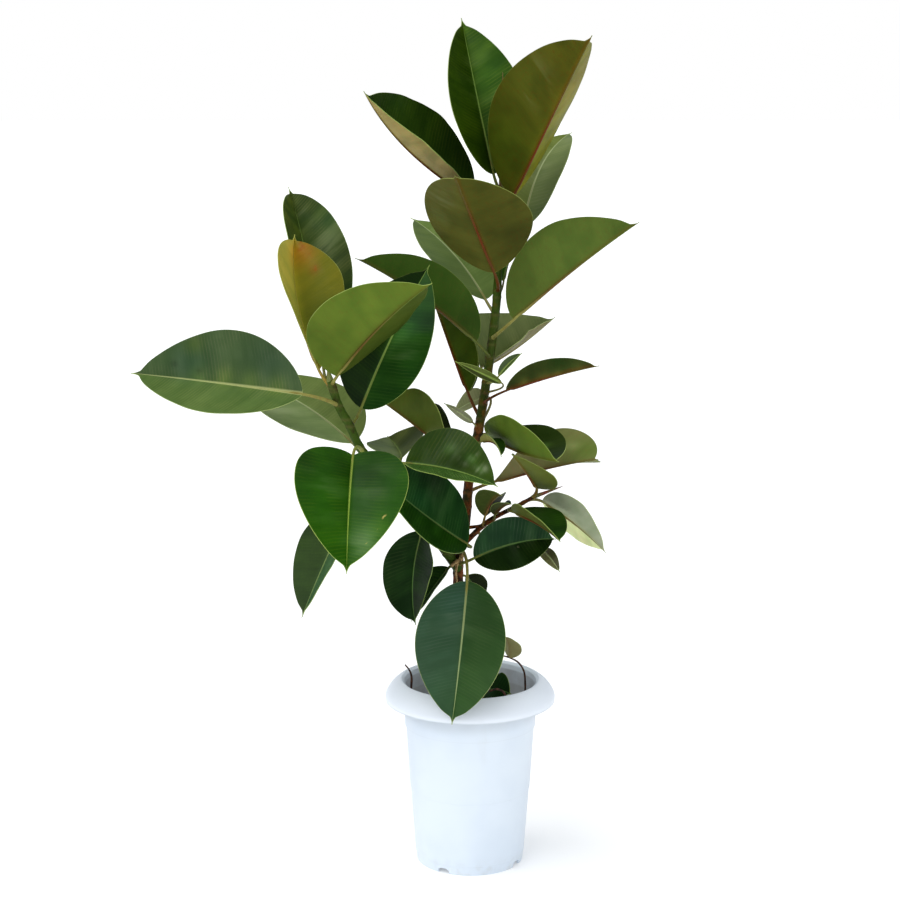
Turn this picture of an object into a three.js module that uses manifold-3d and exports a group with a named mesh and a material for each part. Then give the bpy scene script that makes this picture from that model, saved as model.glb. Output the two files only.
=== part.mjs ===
// Potted rubber plant: a branched Ficus elastica in a flanged plastic pot filled with bark compost.
// Millimetres, +Z up, the front towards -Y. The origin is the centre of the pot's underside.

import * as THREE from 'three';
import { mergeVertices } from 'three/addons/utils/BufferGeometryUtils.js';
import Module from 'manifold-3d';

const wasm = await Module();
wasm.setup();

// ---------------------------------------------------------------- driving dimensions

const GAP = 0.3; // left between pieces that touch
const DEGREE = Math.PI / 180;

const POT = {
  height: 266,
  mouthRadius: 97,
  rimRadius: 120,
  rimWidestHeight: 241,
  rimLipHeight: 236,
  collarRadius: 93.5,
  collarHeight: 200,
  bodyTopRadius: 90.6,
  footRadius: 76.5,
  footStepHeight: 12,
  wall: 3,
  ringStep: 0.8,
  ringHeight: 107,
  floorHeight: 8,
  hubRadius: 30,
  segments: 32,
};

const NOTCH = { width: 17, height: 7.5, firstAngle: -120, count: 4 };
const DRAIN = { radius: 5, circleRadius: 52, count: 4 };
const SOIL = { height: 208, dome: 6, lumps: 2.5 };

const BLADE_THICKNESS = 1;
const BLADE_ACROSS = [-1, -0.5, 0, 0.5, 1];
const BLADE_STATIONS = [0, 0.05, 0.15, 0.29, 0.44, 0.6, 0.75, 0.88, 0.945, 1];
const SMALL_STATIONS = [0, 0.12, 0.35, 0.6, 0.82, 0.945, 1];
const SMALL_BLADE = 90; // a blade shorter than this takes fewer stations
const DRIP_TIP = 0.055; // the drawn-out point's share of a blade's length
const DRIP_TIP_WIDTH = 0.05;
const BLADE_CUP = 12; // degrees that each half curls up from midrib to margin

const BLADE_SWELL = 0.85; // over 0.85 moves a blade's widest place towards its tip

const TWIG = { sides: 6, steps: 8 };
const STALK = { baseRadius: 2.6, bladeRadius: 1.7, sides: 5, steps: 3 };

// Each stem is a smooth curve through hand-placed points, from its lower end up.
const STEMS = {
  trunk: {
    radius: [8, 5.4],
    sides: 9,
    steps: 20,
    points: [
      [-4, 0, 150],
      [-7, 0, 248],
      [-13, 0, 321],
      [-17, 0, 400],
      [-16, 0, 445],
      [-7, 0, 493],
      [-2, 0, 551],
      [10, 0, 616],
      [22, 0, 693],
      [29, 0, 745],
      [35, 0, 799],
      [38, 0, 870],
      [42, 0, 950],
    ],
  },
  branch: {
    radius: [7, 5.5],
    sides: 9,
    steps: 12,
    points: [
      [-17, -2, 425],
      [-56, -35, 488],
      [-96, -70, 545],
      [-147, -105, 615],
      [-162, -115, 650],
      [-175, -120, 675],
      [-186, -125, 712],
    ],
  },
  shoot: {
    radius: [4, 2.6],
    sides: 8,
    steps: 8,
    points: [
      [-8, -2, 462],
      [25, -10, 495],
      [67, -15, 519],
      [88, -15, 531],
    ],
  },
  twig: {
    radius: [2.6, 1.8],
    sides: 6,
    steps: 5,
    points: [
      [-6, 0, 483],
      [20, -14, 491],
      [35, -15, 500],
    ],
  },
  stub: {
    radius: [3.4, 2.2],
    sides: 6,
    steps: 3,
    points: [
      [-12, -2, 446],
      [-14, -13, 441],
      [-21, -18, 438],
      [-27, -20, 433],
    ],
  },
  hangingStub: {
    radius: [2.2, 1],
    sides: 6,
    steps: 3,
    points: [
      [-17, -14, 440],
      [-20, -20, 428],
      [-19, -20, 410],
    ],
  },
};

// Closed buds that end the stems: the point where each starts and its sharp end. The first is a long new
// leaf, still rolled.
const BUDS = [
  { from: [42, 0, 946], to: [42, 0, 1108], radius: 4.6 },
  { from: [88, -15, 531], to: [127, -17, 546], radius: 2.6 },
  { from: [-186, -125, 710], to: [-189, -127, 728], radius: 4.6 },
];

// A leaf grows from the stem "on" at height "at". Its blade runs from base to tip. width is the blade's
// full width laid flat, roll turns it about its own length, fold lifts each half from flat, bow arches
// the midrib towards the upper side, sway bends it sideways, twist turns it from base to tip and swell
// shifts its widest place. Angles are in degrees.
const LEAVES = [
  { name: 'crown_leaf_1', on: 'trunk', at: 945, base: [30, -5, 973], tip: [-13, 60, 1180],
    width: 128, roll: -15, fold: 30, bow: 8, sway: 4, look: 'dark' },
  { name: 'crown_leaf_2', on: 'trunk', at: 938, base: [56, -30, 944], tip: [151, -145, 1156],
    width: 175, roll: -20, fold: 45, bow: 14, sway: 7, look: 'bronze' },
  { name: 'crown_leaf_3', on: 'trunk', at: 925, base: [2, -10, 943], tip: [-140, -85, 1085],
    width: 150, roll: -35, fold: 30, bow: -20, sway: -15, look: 'dark' },
  { name: 'crown_leaf_4', on: 'trunk', at: 885, base: [73, 45, 900], tip: [142, 120, 1024],
    width: 92, roll: 0, fold: 0, bow: 30, sway: -8, look: 'grey' },
  { name: 'crown_leaf_5', on: 'trunk', at: 815, base: [31, -40, 844], tip: [-22, -145, 980],
    width: 155, roll: 5, fold: 10, bow: 15, sway: -9, look: 'bronze' },
  { name: 'crown_leaf_6', on: 'trunk', at: 806, base: [45, 14, 826], tip: [68, 26, 884],
    width: 30, roll: 0, fold: 20, bow: 5, look: 'dark' },
  { name: 'trunk_leaf_1', on: 'trunk', at: 782, base: [20, 17, 801], tip: [-84, 108, 906],
    width: 117, roll: -3, fold: 0, bow: 11, sway: -2, look: 'grey' },
  { name: 'trunk_leaf_2', on: 'trunk', at: 750, base: [57, -40, 780], tip: [222, -65, 914],
    width: 140, roll: -45, fold: 45, bow: 15, sway: 10, look: 'fresh' },
  { name: 'trunk_leaf_3', on: 'trunk', at: 722, base: [7, -20, 747], tip: [-158, 10, 859],
    width: 102, roll: 45, fold: 45, bow: 5, sway: 8, look: 'green' },
  { name: 'trunk_leaf_4', on: 'trunk', at: 702, base: [14, 15, 707], tip: [120, 102, 766],
    width: 137, roll: 15, fold: 45, bow: -15, sway: 9, twist: -12, swell: 0.58, look: 'grey' },
  { name: 'trunk_leaf_5', on: 'trunk', at: 688, base: [38, -24, 701], tip: [70, -10, 731],
    width: 18, roll: 20, fold: 15, bow: 3, look: 'fresh' },
  { name: 'trunk_leaf_6', on: 'trunk', at: 674, base: [42, -28, 692], tip: [-22, -42, 724],
    width: 14, roll: -85, fold: 15, bow: 8, look: 'fresh' },
  { name: 'trunk_leaf_7', on: 'trunk', at: 638, base: [-4, 17, 672], tip: [-56, 67, 807],
    width: 85, roll: 45, fold: 45, bow: 0, look: 'bronze' },
  { name: 'trunk_leaf_8', on: 'trunk', at: 658, base: [48, -25, 681], tip: [174, -40, 718],
    width: 50, roll: -45, fold: 45, bow: 8, sway: 6, look: 'bronze' },
  { name: 'trunk_leaf_9', on: 'trunk', at: 622, base: [3, -10, 634], tip: [-37, -25, 664],
    width: 12, roll: -90, fold: 15, bow: 8, look: 'grey' },
  { name: 'trunk_leaf_10', on: 'trunk', at: 612, base: [23, 3, 615], tip: [116, -122, 602],
    width: 133, roll: -17, fold: 32, bow: -6, sway: -1, twist: -28, swell: 1.14, look: 'fresh' },
  { name: 'trunk_leaf_11', on: 'trunk', at: 628, base: [22, 30, 663], tip: [-23, 62, 636],
    width: 42, roll: -45, fold: 12, bow: 3, look: 'grey' },
  { name: 'trunk_leaf_12', on: 'trunk', at: 534, base: [30, 13, 545], tip: [175, -34, 587],
    width: 135, roll: -60, fold: 65, bow: 16, sway: 8, twist: -73, swell: 1.7, look: 'olive' },
  { name: 'trunk_leaf_13', on: 'trunk', at: 600, base: [14, -46, 614], tip: [41, -82, 600],
    width: 30, roll: -20, fold: 20, bow: 10, look: 'dark' },
  { name: 'low_leaf_1', on: 'trunk', at: 574, base: [-18, -34, 587], tip: [-119, -21, 664],
    width: 123, roll: 9, fold: 34, bow: 3, sway: 10, twist: 61, swell: 1.54, look: 'olive' },
  { name: 'low_leaf_2', on: 'trunk', at: 432, base: [5, -38, 449], tip: [119, -20, 472],
    width: 76, roll: 65, fold: 10, bow: 20, sway: 4, look: 'night' },
  { name: 'low_leaf_3', on: 'trunk', at: 462, base: [-5, -46, 471], tip: [-138, -110, 595],
    width: 122, roll: -55, fold: 18, bow: -3, sway: 4, look: 'night' },
  { name: 'low_leaf_4', on: 'trunk', at: 428, base: [-67, -30, 485], tip: [-76, -75, 364],
    width: 118, roll: 42, fold: 5, bow: 4, sway: -8, look: 'night' },
  { name: 'low_leaf_5', on: 'trunk', at: 418, base: [-30, -14, 430], tip: [-83, -20, 354],
    width: 80, roll: -10, fold: 12, bow: 4, sway: 5, look: 'night' },
  { name: 'low_leaf_6', on: 'trunk', at: 452, base: [-5, -80, 427], tip: [-26, -125, 238],
    width: 135, roll: -20, fold: 20, bow: 12, sway: 2, look: 'sheen' },
  { name: 'low_leaf_7', on: 'trunk', at: 405, base: [-6, 14, 410], tip: [18, 40, 368],
    width: 40, roll: 95, fold: 15, bow: 3, look: 'night' },
  { name: 'shoot_leaf_1', on: 'shoot', at: 530, base: [91, -24, 545], tip: [55, -70, 602],
    width: 88, roll: -17, fold: 12, bow: 0, sway: 5, look: 'olive' },
  { name: 'shoot_leaf_2', on: 'shoot', at: 522, base: [100, 0, 521], tip: [186, -45, 459],
    width: 100, roll: -50, fold: 0, bow: 3, sway: -4, look: 'grey' },
  { name: 'shoot_leaf_3', on: 'shoot', at: 512, base: [58, -35, 514], tip: [121, -95, 486],
    width: 95, roll: -15, fold: 18, bow: 4, sway: 3, look: 'dark' },
  { name: 'shoot_leaf_4', on: 'shoot', at: 478, base: [100, -5, 451], tip: [124, -30, 427],
    width: 21, roll: 40, fold: 16, bow: 12, look: 'grey' },
  { name: 'shoot_leaf_5', on: 'twig', at: 490, base: [20, -18, 504], tip: [42, -55, 542],
    width: 48, roll: -15, fold: 25, bow: 8, look: 'olive' },
  { name: 'shoot_leaf_6', on: 'twig', at: 498, base: [34, -20, 506], tip: [56, -42, 527],
    width: 30, roll: 0, fold: 20, bow: 4, look: 'dark' },
  { name: 'branch_leaf_1', on: 'branch', at: 610, base: [-155, -165, 619], tip: [-159, -280, 489],
    width: 178, roll: -7, fold: 30, bow: 12, sway: -2, look: 'bright' },
  { name: 'branch_leaf_2', on: 'branch', at: 585, base: [-160, -92, 537], tip: [-226, -155, 397],
    width: 100, roll: 5, fold: 18, bow: 0, sway: -3, look: 'dusk' },
  { name: 'branch_leaf_3', on: 'branch', at: 598, base: [-88, -110, 597], tip: [36, -118, 567],
    width: 124, roll: 25, fold: 20, bow: 6, sway: 3, look: 'gloss' },
  { name: 'branch_leaf_4', on: 'branch', at: 556, base: [-95, -65, 594], tip: [-116, 20, 610],
    width: 92, roll: -15, fold: 22, bow: -4, sway: -5, look: 'dusk' },
  { name: 'branch_leaf_5', on: 'branch', at: 677, base: [-221, -145, 696], tip: [-455, -80, 714],
    width: 143, roll: -50, fold: 22, bow: 2, sway: 0, look: 'sheen' },
  { name: 'branch_leaf_6', on: 'branch', at: 618, base: [-160, -85, 620], tip: [-323, 60, 684],
    width: 155, roll: -7, fold: 0, bow: 14, sway: -2, look: 'grey' },
  { name: 'branch_leaf_7', on: 'branch', at: 705, base: [-176, -140, 719], tip: [-51, -215, 850],
    width: 170, roll: -18, fold: 16, bow: 4, sway: -7, look: 'fresh' },
  { name: 'branch_leaf_8', on: 'branch', at: 648, base: [-147, -85, 667], tip: [-56, -45, 855],
    width: 126, roll: 50, fold: 10, bow: 14, sway: 0, look: 'dark' },
  { name: 'branch_leaf_9', on: 'branch', at: 700, base: [-201, -122, 724], tip: [-237, -27, 894],
    width: 140, roll: 9, fold: 45, bow: 3, sway: 15, twist: -21, swell: 1.17, look: 'ageing' },
  { name: 'branch_leaf_10', on: 'branch', at: 696, base: [-199, -61, 719], tip: [-255, 109, 949],
    width: 131, roll: 7, fold: 44, bow: 14, twist: -19, swell: 1.07, look: 'dark' },
];

// Little things rooted in the soil: a thin twig through points from its lower end up, some with a blade.
const SEEDLINGS = [
  {
    name: 'seedling',
    radius: [1.6, 1.1],
    points: [
      [78, 30, 190],
      [79, 30, 243],
      [77, 30, 266],
      [69, 30, 279],
      [57, 30, 286],
      [47, 30, 289],
    ],
    blade: { base: [56, 30, 286], tip: [50, 25, 320], width: 42, roll: 0, fold: 12, bow: 3 },
    look: 'pale',
  },
  {
    name: 'soil_leaf',
    radius: [1.6, 1.3],
    points: [
      [12, -30, 190],
      [14, -31, 236],
      [28, -36, 260],
    ],
    blade: { base: [27, -35, 259], tip: [56, -62, 262], width: 50, roll: 42, fold: 12, bow: 4 },
    look: 'night',
  },
  {
    name: 'soil_twig_1',
    radius: [2, 1],
    points: [
      [-84, 4, 190],
      [-84, 2, 240],
      [-83, 0, 268],
      [-86, 0, 277],
      [-92, 0, 285],
    ],
  },
  {
    name: 'soil_twig_2',
    radius: [1.8, 1.2],
    points: [
      [50, -67, 190],
      [50, -67, 251],
      [46, -67, 265],
      [36, -67, 270],
      [26, -64, 266],
    ],
  },
];

const LEAF_COLOURS = {
  dark: 0x14300f,
  night: 0x0d1f12,
  dusk: 0x2d3a26,
  green: 0x27480f,
  gloss: 0x23421c,
  sheen: 0x35563f,
  bright: 0x2c5a14,
  fresh: 0x567a28,
  olive: 0x6f7438,
  bronze: 0x4c4a14,
  grey: 0x5f7a54,
  ageing: 0x8a7a16,
  pale: 0x8f9a66,
};

// ---------------------------------------------------------------- solids

function toSolid(geometry) {
  const bare = geometry.index ? geometry.clone() : geometry;
  bare.deleteAttribute('normal');
  bare.deleteAttribute('uv');
  const merged = mergeVertices(bare, 1e-4);
  const mesh = new wasm.Mesh({
    numProp: 3,
    vertProperties: new Float32Array(merged.attributes.position.array),
    triVerts: new Uint32Array(merged.index.array),
  });
  return new wasm.Manifold(mesh);
}

function toGeometry(solid) {
  const mesh = solid.getMesh();
  const geometry = new THREE.BufferGeometry();
  geometry.setAttribute('position', new THREE.BufferAttribute(mesh.vertProperties, 3));
  geometry.setIndex(new THREE.BufferAttribute(mesh.triVerts, 1));
  geometry.computeVertexNormals();
  return geometry;
}

function union(solids) {
  return solids.reduce((whole, solid) => whole.add(solid));
}

function makeMesh(name, solid, colour, roughness) {
  const material = new THREE.MeshStandardMaterial({ color: colour, roughness, metalness: 0 });
  const mesh = new THREE.Mesh(toGeometry(solid), material);
  mesh.name = name;
  return mesh;
}

function latheSolid(profile, segments) {
  const points = profile.map(([radius, height]) => new THREE.Vector2(radius, height));
  return toSolid(new THREE.LatheGeometry(points, segments).rotateX(Math.PI / 2));
}

function smoothCurve(points) {
  return new THREE.CatmullRomCurve3(points.map((point) => new THREE.Vector3(...point)));
}

// A closed round rod along a curve, whose radius runs from startRadius to endRadius.
function taperedRod(curve, startRadius, endRadius, sides, steps) {
  const frames = curve.computeFrenetFrames(steps, false);
  const positions = [];
  const triangles = [];
  for (let step = 0; step <= steps; step += 1) {
    const share = step / steps;
    const centre = curve.getPointAt(share);
    const radius = THREE.MathUtils.lerp(startRadius, endRadius, share);
    for (let side = 0; side < sides; side += 1) {
      const angle = (side / sides) * 2 * Math.PI;
      const point = centre.clone();
      point.addScaledVector(frames.normals[step], Math.cos(angle) * radius);
      point.addScaledVector(frames.binormals[step], Math.sin(angle) * radius);
      positions.push(...point.toArray());
    }
  }
  for (let step = 0; step < steps; step += 1) {
    for (let side = 0; side < sides; side += 1) {
      const next = (side + 1) % sides;
      const [a, b] = [step * sides + side, step * sides + next];
      const [c, d] = [a + sides, b + sides];
      triangles.push(a, b, d, a, d, c);
    }
  }
  const last = steps * sides;
  for (let side = 1; side < sides - 1; side += 1) {
    triangles.push(0, side + 1, side, last, last + side, last + side + 1);
  }
  return toSolid(closedGeometry(positions, triangles));
}

function closedGeometry(positions, triangles) {
  const geometry = new THREE.BufferGeometry();
  geometry.setAttribute('position', new THREE.Float32BufferAttribute(positions, 3));
  geometry.setIndex(triangles);
  return geometry;
}

// ---------------------------------------------------------------- pot

function potProfile() {
  const { wall, height, rimRadius, collarRadius, collarHeight, bodyTopRadius, footRadius } = POT;
  const { mouthRadius, rimWidestHeight, rimLipHeight, ringHeight, ringStep, floorHeight } = POT;
  const { footStepHeight, hubRadius } = POT;
  const neckHeight = collarHeight - wall;
  const lean = (bodyTopRadius - footRadius) / neckHeight;
  const ringRadius = footRadius + lean * ringHeight;
  return [
    [0, 0],
    [hubRadius, 0],
    [hubRadius + wall, floorHeight],
    [footRadius - 6, floorHeight],
    [footRadius - 4, 0],
    [footRadius - 1, 0],
    [footRadius - 1 + lean * footStepHeight, footStepHeight],
    [footRadius + lean * footStepHeight, footStepHeight + 1],
    [ringRadius, ringHeight],
    [ringRadius + ringStep, ringHeight + 1],
    [bodyTopRadius, neckHeight],
    [collarRadius - 1, collarHeight],
    [collarRadius, rimLipHeight],
    [collarRadius + 0.5, height - 10],
    [mouthRadius + 3, height - 5],
    [mouthRadius + 11, height - 10],
    [rimRadius - wall, rimWidestHeight + 1],
    [rimRadius - wall, rimLipHeight],
    [rimRadius - 0.5, rimLipHeight],
    [rimRadius, rimWidestHeight],
    [rimRadius - 3, rimWidestHeight + 8],
    [rimRadius - 9, rimWidestHeight + 16],
    [rimRadius - 16, height - 2.5],
    [mouthRadius, height],
    [mouthRadius - 4, height - 3],
    [collarRadius - wall, height - 14],
    [collarRadius - wall, collarHeight],
    [bodyTopRadius - wall, neckHeight],
    [footRadius - wall + lean * floorHeight, floorHeight + wall],
    [hubRadius + wall, floorHeight + wall],
    [hubRadius, wall],
    [0, wall],
  ];
}

// An arched opening cut through the foot ring, pointing away from the axis.
function notchSolid(angle) {
  const half = NOTCH.width / 2;
  const shape = new THREE.Shape();
  shape.moveTo(-half, -1);
  shape.lineTo(half, -1);
  shape.lineTo(half, NOTCH.height / 2);
  shape.absellipse(0, NOTCH.height / 2, half, NOTCH.height / 2, 0, Math.PI, false);
  const geometry = new THREE.ExtrudeGeometry(shape, { depth: 30, bevelEnabled: false, curveSegments: 6 });
  geometry.rotateX(Math.PI / 2).translate(0, POT.footRadius + 10, 0).rotateZ(angle - Math.PI / 2);
  return toSolid(geometry);
}

function drainSolid(angle) {
  const geometry = new THREE.CylinderGeometry(DRAIN.radius, DRAIN.radius, 10, 10).rotateX(Math.PI / 2);
  const { circleRadius } = DRAIN;
  geometry.translate(circleRadius * Math.cos(angle), circleRadius * Math.sin(angle), POT.floorHeight);
  return toSolid(geometry);
}

function potSolid() {
  let pot = latheSolid(potProfile(), POT.segments);
  for (let index = 0; index < NOTCH.count; index += 1) {
    pot = pot.subtract(notchSolid(NOTCH.firstAngle * DEGREE + (index * Math.PI) / 2));
  }
  for (let index = 0; index < DRAIN.count; index += 1) {
    pot = pot.subtract(drainSolid((index / DRAIN.count) * 2 * Math.PI));
  }
  return pot;
}

// ---------------------------------------------------------------- soil

function soilSolid(holes) {
  const { wall, floorHeight, hubRadius, footRadius, bodyTopRadius, collarHeight, collarRadius } = POT;
  const lean = (bodyTopRadius - footRadius) / (collarHeight - wall);
  const inner = footRadius - wall + lean * floorHeight;
  const profile = [
    [0, wall + GAP],
    [hubRadius - 1, wall + GAP],
    [hubRadius + wall - 1, floorHeight + wall + GAP],
    [inner - GAP, floorHeight + wall + GAP],
    [bodyTopRadius - wall - GAP, collarHeight - wall],
    [collarRadius - wall - GAP, collarHeight + GAP],
    [collarRadius - wall - GAP, SOIL.height],
    [collarRadius * 0.7, SOIL.height + SOIL.dome * 0.4],
    [collarRadius * 0.4, SOIL.height + SOIL.dome * 0.8],
    [0, SOIL.height + SOIL.dome],
  ];
  const points = profile.map(([radius, height]) => new THREE.Vector2(radius, height));
  const geometry = new THREE.LatheGeometry(points, POT.segments / 2).rotateX(Math.PI / 2);
  const position = geometry.attributes.position;
  for (let index = 0; index < position.count; index += 1) {
    const [x, y, z] = [position.getX(index), position.getY(index), position.getZ(index)];
    if (z > SOIL.height && Math.hypot(x, y) > 1) {
      position.setZ(index, z + SOIL.lumps * Math.sin(x * 0.13) * Math.cos(y * 0.11 + 1));
    }
  }
  return toSolid(geometry).subtract(holes);
}

// ---------------------------------------------------------------- stems

function stemCurve(name) {
  return smoothCurve(STEMS[name].points);
}

function stemRod(name, extra) {
  const { radius, sides, steps } = STEMS[name];
  return taperedRod(stemCurve(name), radius[0] + extra, radius[1] + extra, sides, steps);
}

function budSolid({ from, to, radius }, extra) {
  const curve = new THREE.LineCurve3(new THREE.Vector3(...from), new THREE.Vector3(...to));
  return taperedRod(curve, radius + extra, 0.4 + extra, 8, 2);
}

function stemsSolid(extra = 0) {
  const rods = Object.keys(STEMS).map((name) => stemRod(name, extra));
  const buds = BUDS.map((bud) => budSolid(bud, extra));
  return union([...rods, ...buds]);
}

function stemPointAt(name, height) {
  const curve = stemCurve(name);
  let [low, high] = [0, 1];
  for (let halving = 0; halving < 24; halving += 1) {
    const middle = (low + high) / 2;
    if (curve.getPoint(middle).z < height) {
      low = middle;
    } else {
      high = middle;
    }
  }
  return curve.getPoint((low + high) / 2);
}

// ---------------------------------------------------------------- leaves

// The share of the full half width at a share of the length: a broad oval with a drawn-out drip tip.
function bladeOutline(share, swell = BLADE_SWELL) {
  const along = Math.min(share / (1 - DRIP_TIP), 1);
  const oval = Math.sin(Math.PI * along ** swell) ** 0.7;
  const tip = share > 0.5 ? DRIP_TIP_WIDTH * Math.min((1 - share) / DRIP_TIP, 1) ** 0.8 : 0;
  return Math.max(oval, tip);
}

function bladeFrame({ base, tip, roll }) {
  const along = new THREE.Vector3(...tip).sub(new THREE.Vector3(...base));
  const length = along.length();
  along.divideScalar(length);
  const side = new THREE.Vector3(0, 0, 1).cross(along).normalize();
  const up = along.clone().cross(side);
  side.applyAxisAngle(along, roll * DEGREE);
  up.applyAxisAngle(along, roll * DEGREE);
  return { along, side, up, length };
}

function midribPoint(leaf, frame, share) {
  const arch = 4 * share * (1 - share);
  return new THREE.Vector3(...leaf.base)
    .addScaledVector(frame.along, frame.length * share)
    .addScaledVector(frame.up, (leaf.bow ?? 0) * arch)
    .addScaledVector(frame.side, (leaf.sway ?? 0) * arch);
}

// The local directions along, across and up the blade at a share of its length.
function bladeAxes(leaf, frame, share) {
  const slope = 4 * (1 - 2 * share);
  const along = frame.along.clone().multiplyScalar(frame.length);
  along.addScaledVector(frame.up, (leaf.bow ?? 0) * slope);
  along.addScaledVector(frame.side, (leaf.sway ?? 0) * slope).normalize();
  const turn = (leaf.twist ?? 0) * DEGREE * (share - 0.5);
  const side = frame.side.clone().applyAxisAngle(frame.along, turn);
  side.addScaledVector(along, -side.dot(along)).normalize();
  return { along, side, up: along.clone().cross(side) };
}

function bladePoint(leaf, frame, share, across) {
  const axes = bladeAxes(leaf, frame, share);
  const least = share < 0.5 ? STALK.bladeRadius : 0.5;
  const reach = Math.max((bladeOutline(share, leaf.swell) * leaf.width) / 2, least) * Math.abs(across);
  const lift = (leaf.fold + (BLADE_CUP * Math.abs(across)) / 2) * DEGREE;
  return midribPoint(leaf, frame, share)
    .addScaledVector(axes.side, Math.sign(across) * reach * Math.cos(lift))
    .addScaledVector(axes.up, reach * Math.sin(lift));
}

function bladeNormal(leaf, frame, share, across) {
  const axes = bladeAxes(leaf, frame, share);
  const lift = Math.sign(across) * (leaf.fold + BLADE_CUP * Math.abs(across)) * DEGREE;
  const normal = axes.up.clone().multiplyScalar(Math.cos(lift));
  return normal.addScaledVector(axes.side, -Math.sin(lift));
}

function bladeSolid(leaf, frame) {
  const stations = frame.length < SMALL_BLADE ? SMALL_STATIONS : BLADE_STATIONS;
  const columns = BLADE_ACROSS.length;
  const faces = [[], []];
  for (const share of stations) {
    for (const across of BLADE_ACROSS) {
      const point = bladePoint(leaf, frame, share, across);
      const normal = bladeNormal(leaf, frame, share, across);
      faces[0].push(point.clone().addScaledVector(normal, BLADE_THICKNESS / 2));
      faces[1].push(point.clone().addScaledVector(normal, -BLADE_THICKNESS / 2));
    }
  }
  const under = faces[0].length;
  const triangles = [];
  for (let row = 0; row < stations.length - 1; row += 1) {
    for (let column = 0; column < columns - 1; column += 1) {
      const a = row * columns + column;
      const [b, c, d] = [a + 1, a + columns, a + columns + 1];
      triangles.push(a, c, d, a, d, b);
      triangles.push(under + a, under + d, under + c, under + a, under + b, under + d);
    }
  }
  const rim = bladeRim(stations.length, columns);
  rim.forEach((current, index) => {
    const next = rim[(index + 1) % rim.length];
    triangles.push(current, next, under + next, current, under + next, under + current);
  });
  const positions = faces.flat().flatMap((point) => point.toArray());
  return toSolid(closedGeometry(positions, triangles));
}

// The indices round the blade's edge, in the order that its side wall needs.
function bladeRim(rows, columns) {
  const rim = [];
  for (let column = 0; column < columns - 1; column += 1) {
    rim.push(column);
  }
  for (let row = 0; row < rows - 1; row += 1) {
    rim.push(row * columns + columns - 1);
  }
  for (let column = columns - 1; column > 0; column -= 1) {
    rim.push((rows - 1) * columns + column);
  }
  for (let row = rows - 1; row > 0; row -= 1) {
    rim.push(row * columns);
  }
  return rim;
}

function stalkSolid(leaf, frame) {
  const root = stemPointAt(leaf.on, leaf.at);
  const base = midribPoint(leaf, frame, 0);
  const inside = midribPoint(leaf, frame, 0.05);
  const { along } = bladeAxes(leaf, frame, 0);
  const bend = base.clone().addScaledVector(along, -0.5 * root.distanceTo(base));
  const curve = new THREE.CubicBezierCurve3(root, bend, base, inside);
  const { baseRadius, bladeRadius, sides, steps } = STALK;
  const slim = Math.min(1, 0.5 + leaf.width / 160);
  return taperedRod(curve, baseRadius * slim, bladeRadius * slim, sides, steps);
}

function leafSolid(leaf, stemRoom) {
  const frame = bladeFrame(leaf);
  return bladeSolid(leaf, frame).add(stalkSolid(leaf, frame)).subtract(stemRoom);
}

// ---------------------------------------------------------------- seedlings

function seedlingSolid({ points, radius, blade }, extra = 0) {
  const { sides, steps } = TWIG;
  const twig = taperedRod(smoothCurve(points), radius[0] + extra, radius[1] + extra, sides, steps);
  return blade && extra === 0 ? twig.add(bladeSolid(blade, bladeFrame(blade))) : twig;
}

// ---------------------------------------------------------------- assembly

const group = new THREE.Group();
const stemRoom = stemsSolid(GAP);

const rootRoom = union([stemRoom, ...SEEDLINGS.map((seedling) => seedlingSolid(seedling, GAP))]);

group.add(makeMesh('pot', potSolid(), 0xdfe4ee, 0.45));
group.add(makeMesh('soil', soilSolid(rootRoom), 0x2e2723, 0.95));
group.add(makeMesh('stems', stemsSolid(), 0x4b3320, 0.7));
for (const leaf of LEAVES) {
  group.add(makeMesh(leaf.name, leafSolid(leaf, stemRoom), LEAF_COLOURS[leaf.look], 0.35));
}
for (const seedling of SEEDLINGS) {
  const colour = seedling.look ? LEAF_COLOURS[seedling.look] : 0x3a2418;
  group.add(makeMesh(seedling.name, seedlingSolid(seedling), colour, 0.6));
}

export default group;
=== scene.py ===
"""The looks of a potted rubber plant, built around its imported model.

Metres, +Z up, the front towards -Y. The origin is the centre of the pot's underside.
"""

import logging
import math
import random
from collections.abc import Callable, Iterator
from contextlib import contextmanager
from dataclasses import dataclass, field
from enum import Enum, auto

import bpy
import numpy as np
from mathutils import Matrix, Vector, noise


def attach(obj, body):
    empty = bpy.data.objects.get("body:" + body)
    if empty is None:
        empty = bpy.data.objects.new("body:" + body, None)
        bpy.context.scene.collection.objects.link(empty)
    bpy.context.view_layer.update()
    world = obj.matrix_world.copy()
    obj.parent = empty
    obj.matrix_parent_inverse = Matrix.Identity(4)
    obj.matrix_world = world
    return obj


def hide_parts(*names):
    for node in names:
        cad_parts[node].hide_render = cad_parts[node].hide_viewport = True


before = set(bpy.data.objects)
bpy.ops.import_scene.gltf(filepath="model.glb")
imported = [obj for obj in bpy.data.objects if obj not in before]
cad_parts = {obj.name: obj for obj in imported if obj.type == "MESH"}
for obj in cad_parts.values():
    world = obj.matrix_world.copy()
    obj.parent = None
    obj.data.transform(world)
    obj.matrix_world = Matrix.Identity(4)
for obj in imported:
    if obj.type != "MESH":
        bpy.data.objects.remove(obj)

LOG = logging.getLogger("rubber_plant")
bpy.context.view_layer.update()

Point = tuple[float, float, float]
Colour = tuple[float, float, float, float]
Piece = bpy.types.Object
Material = bpy.types.Material


# ---- drawing tools


def paint(code: int) -> Colour:
    """Turns a display colour, written 0xRRGGBB, into linear light with an alpha of 1."""
    shares = [((code >> shift) & 255) / 255 for shift in (16, 8, 0)]
    return (*(x / 12.92 if x <= 0.04045 else ((x + 0.055) / 1.055) ** 2.4 for x in shares), 1.0)


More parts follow.
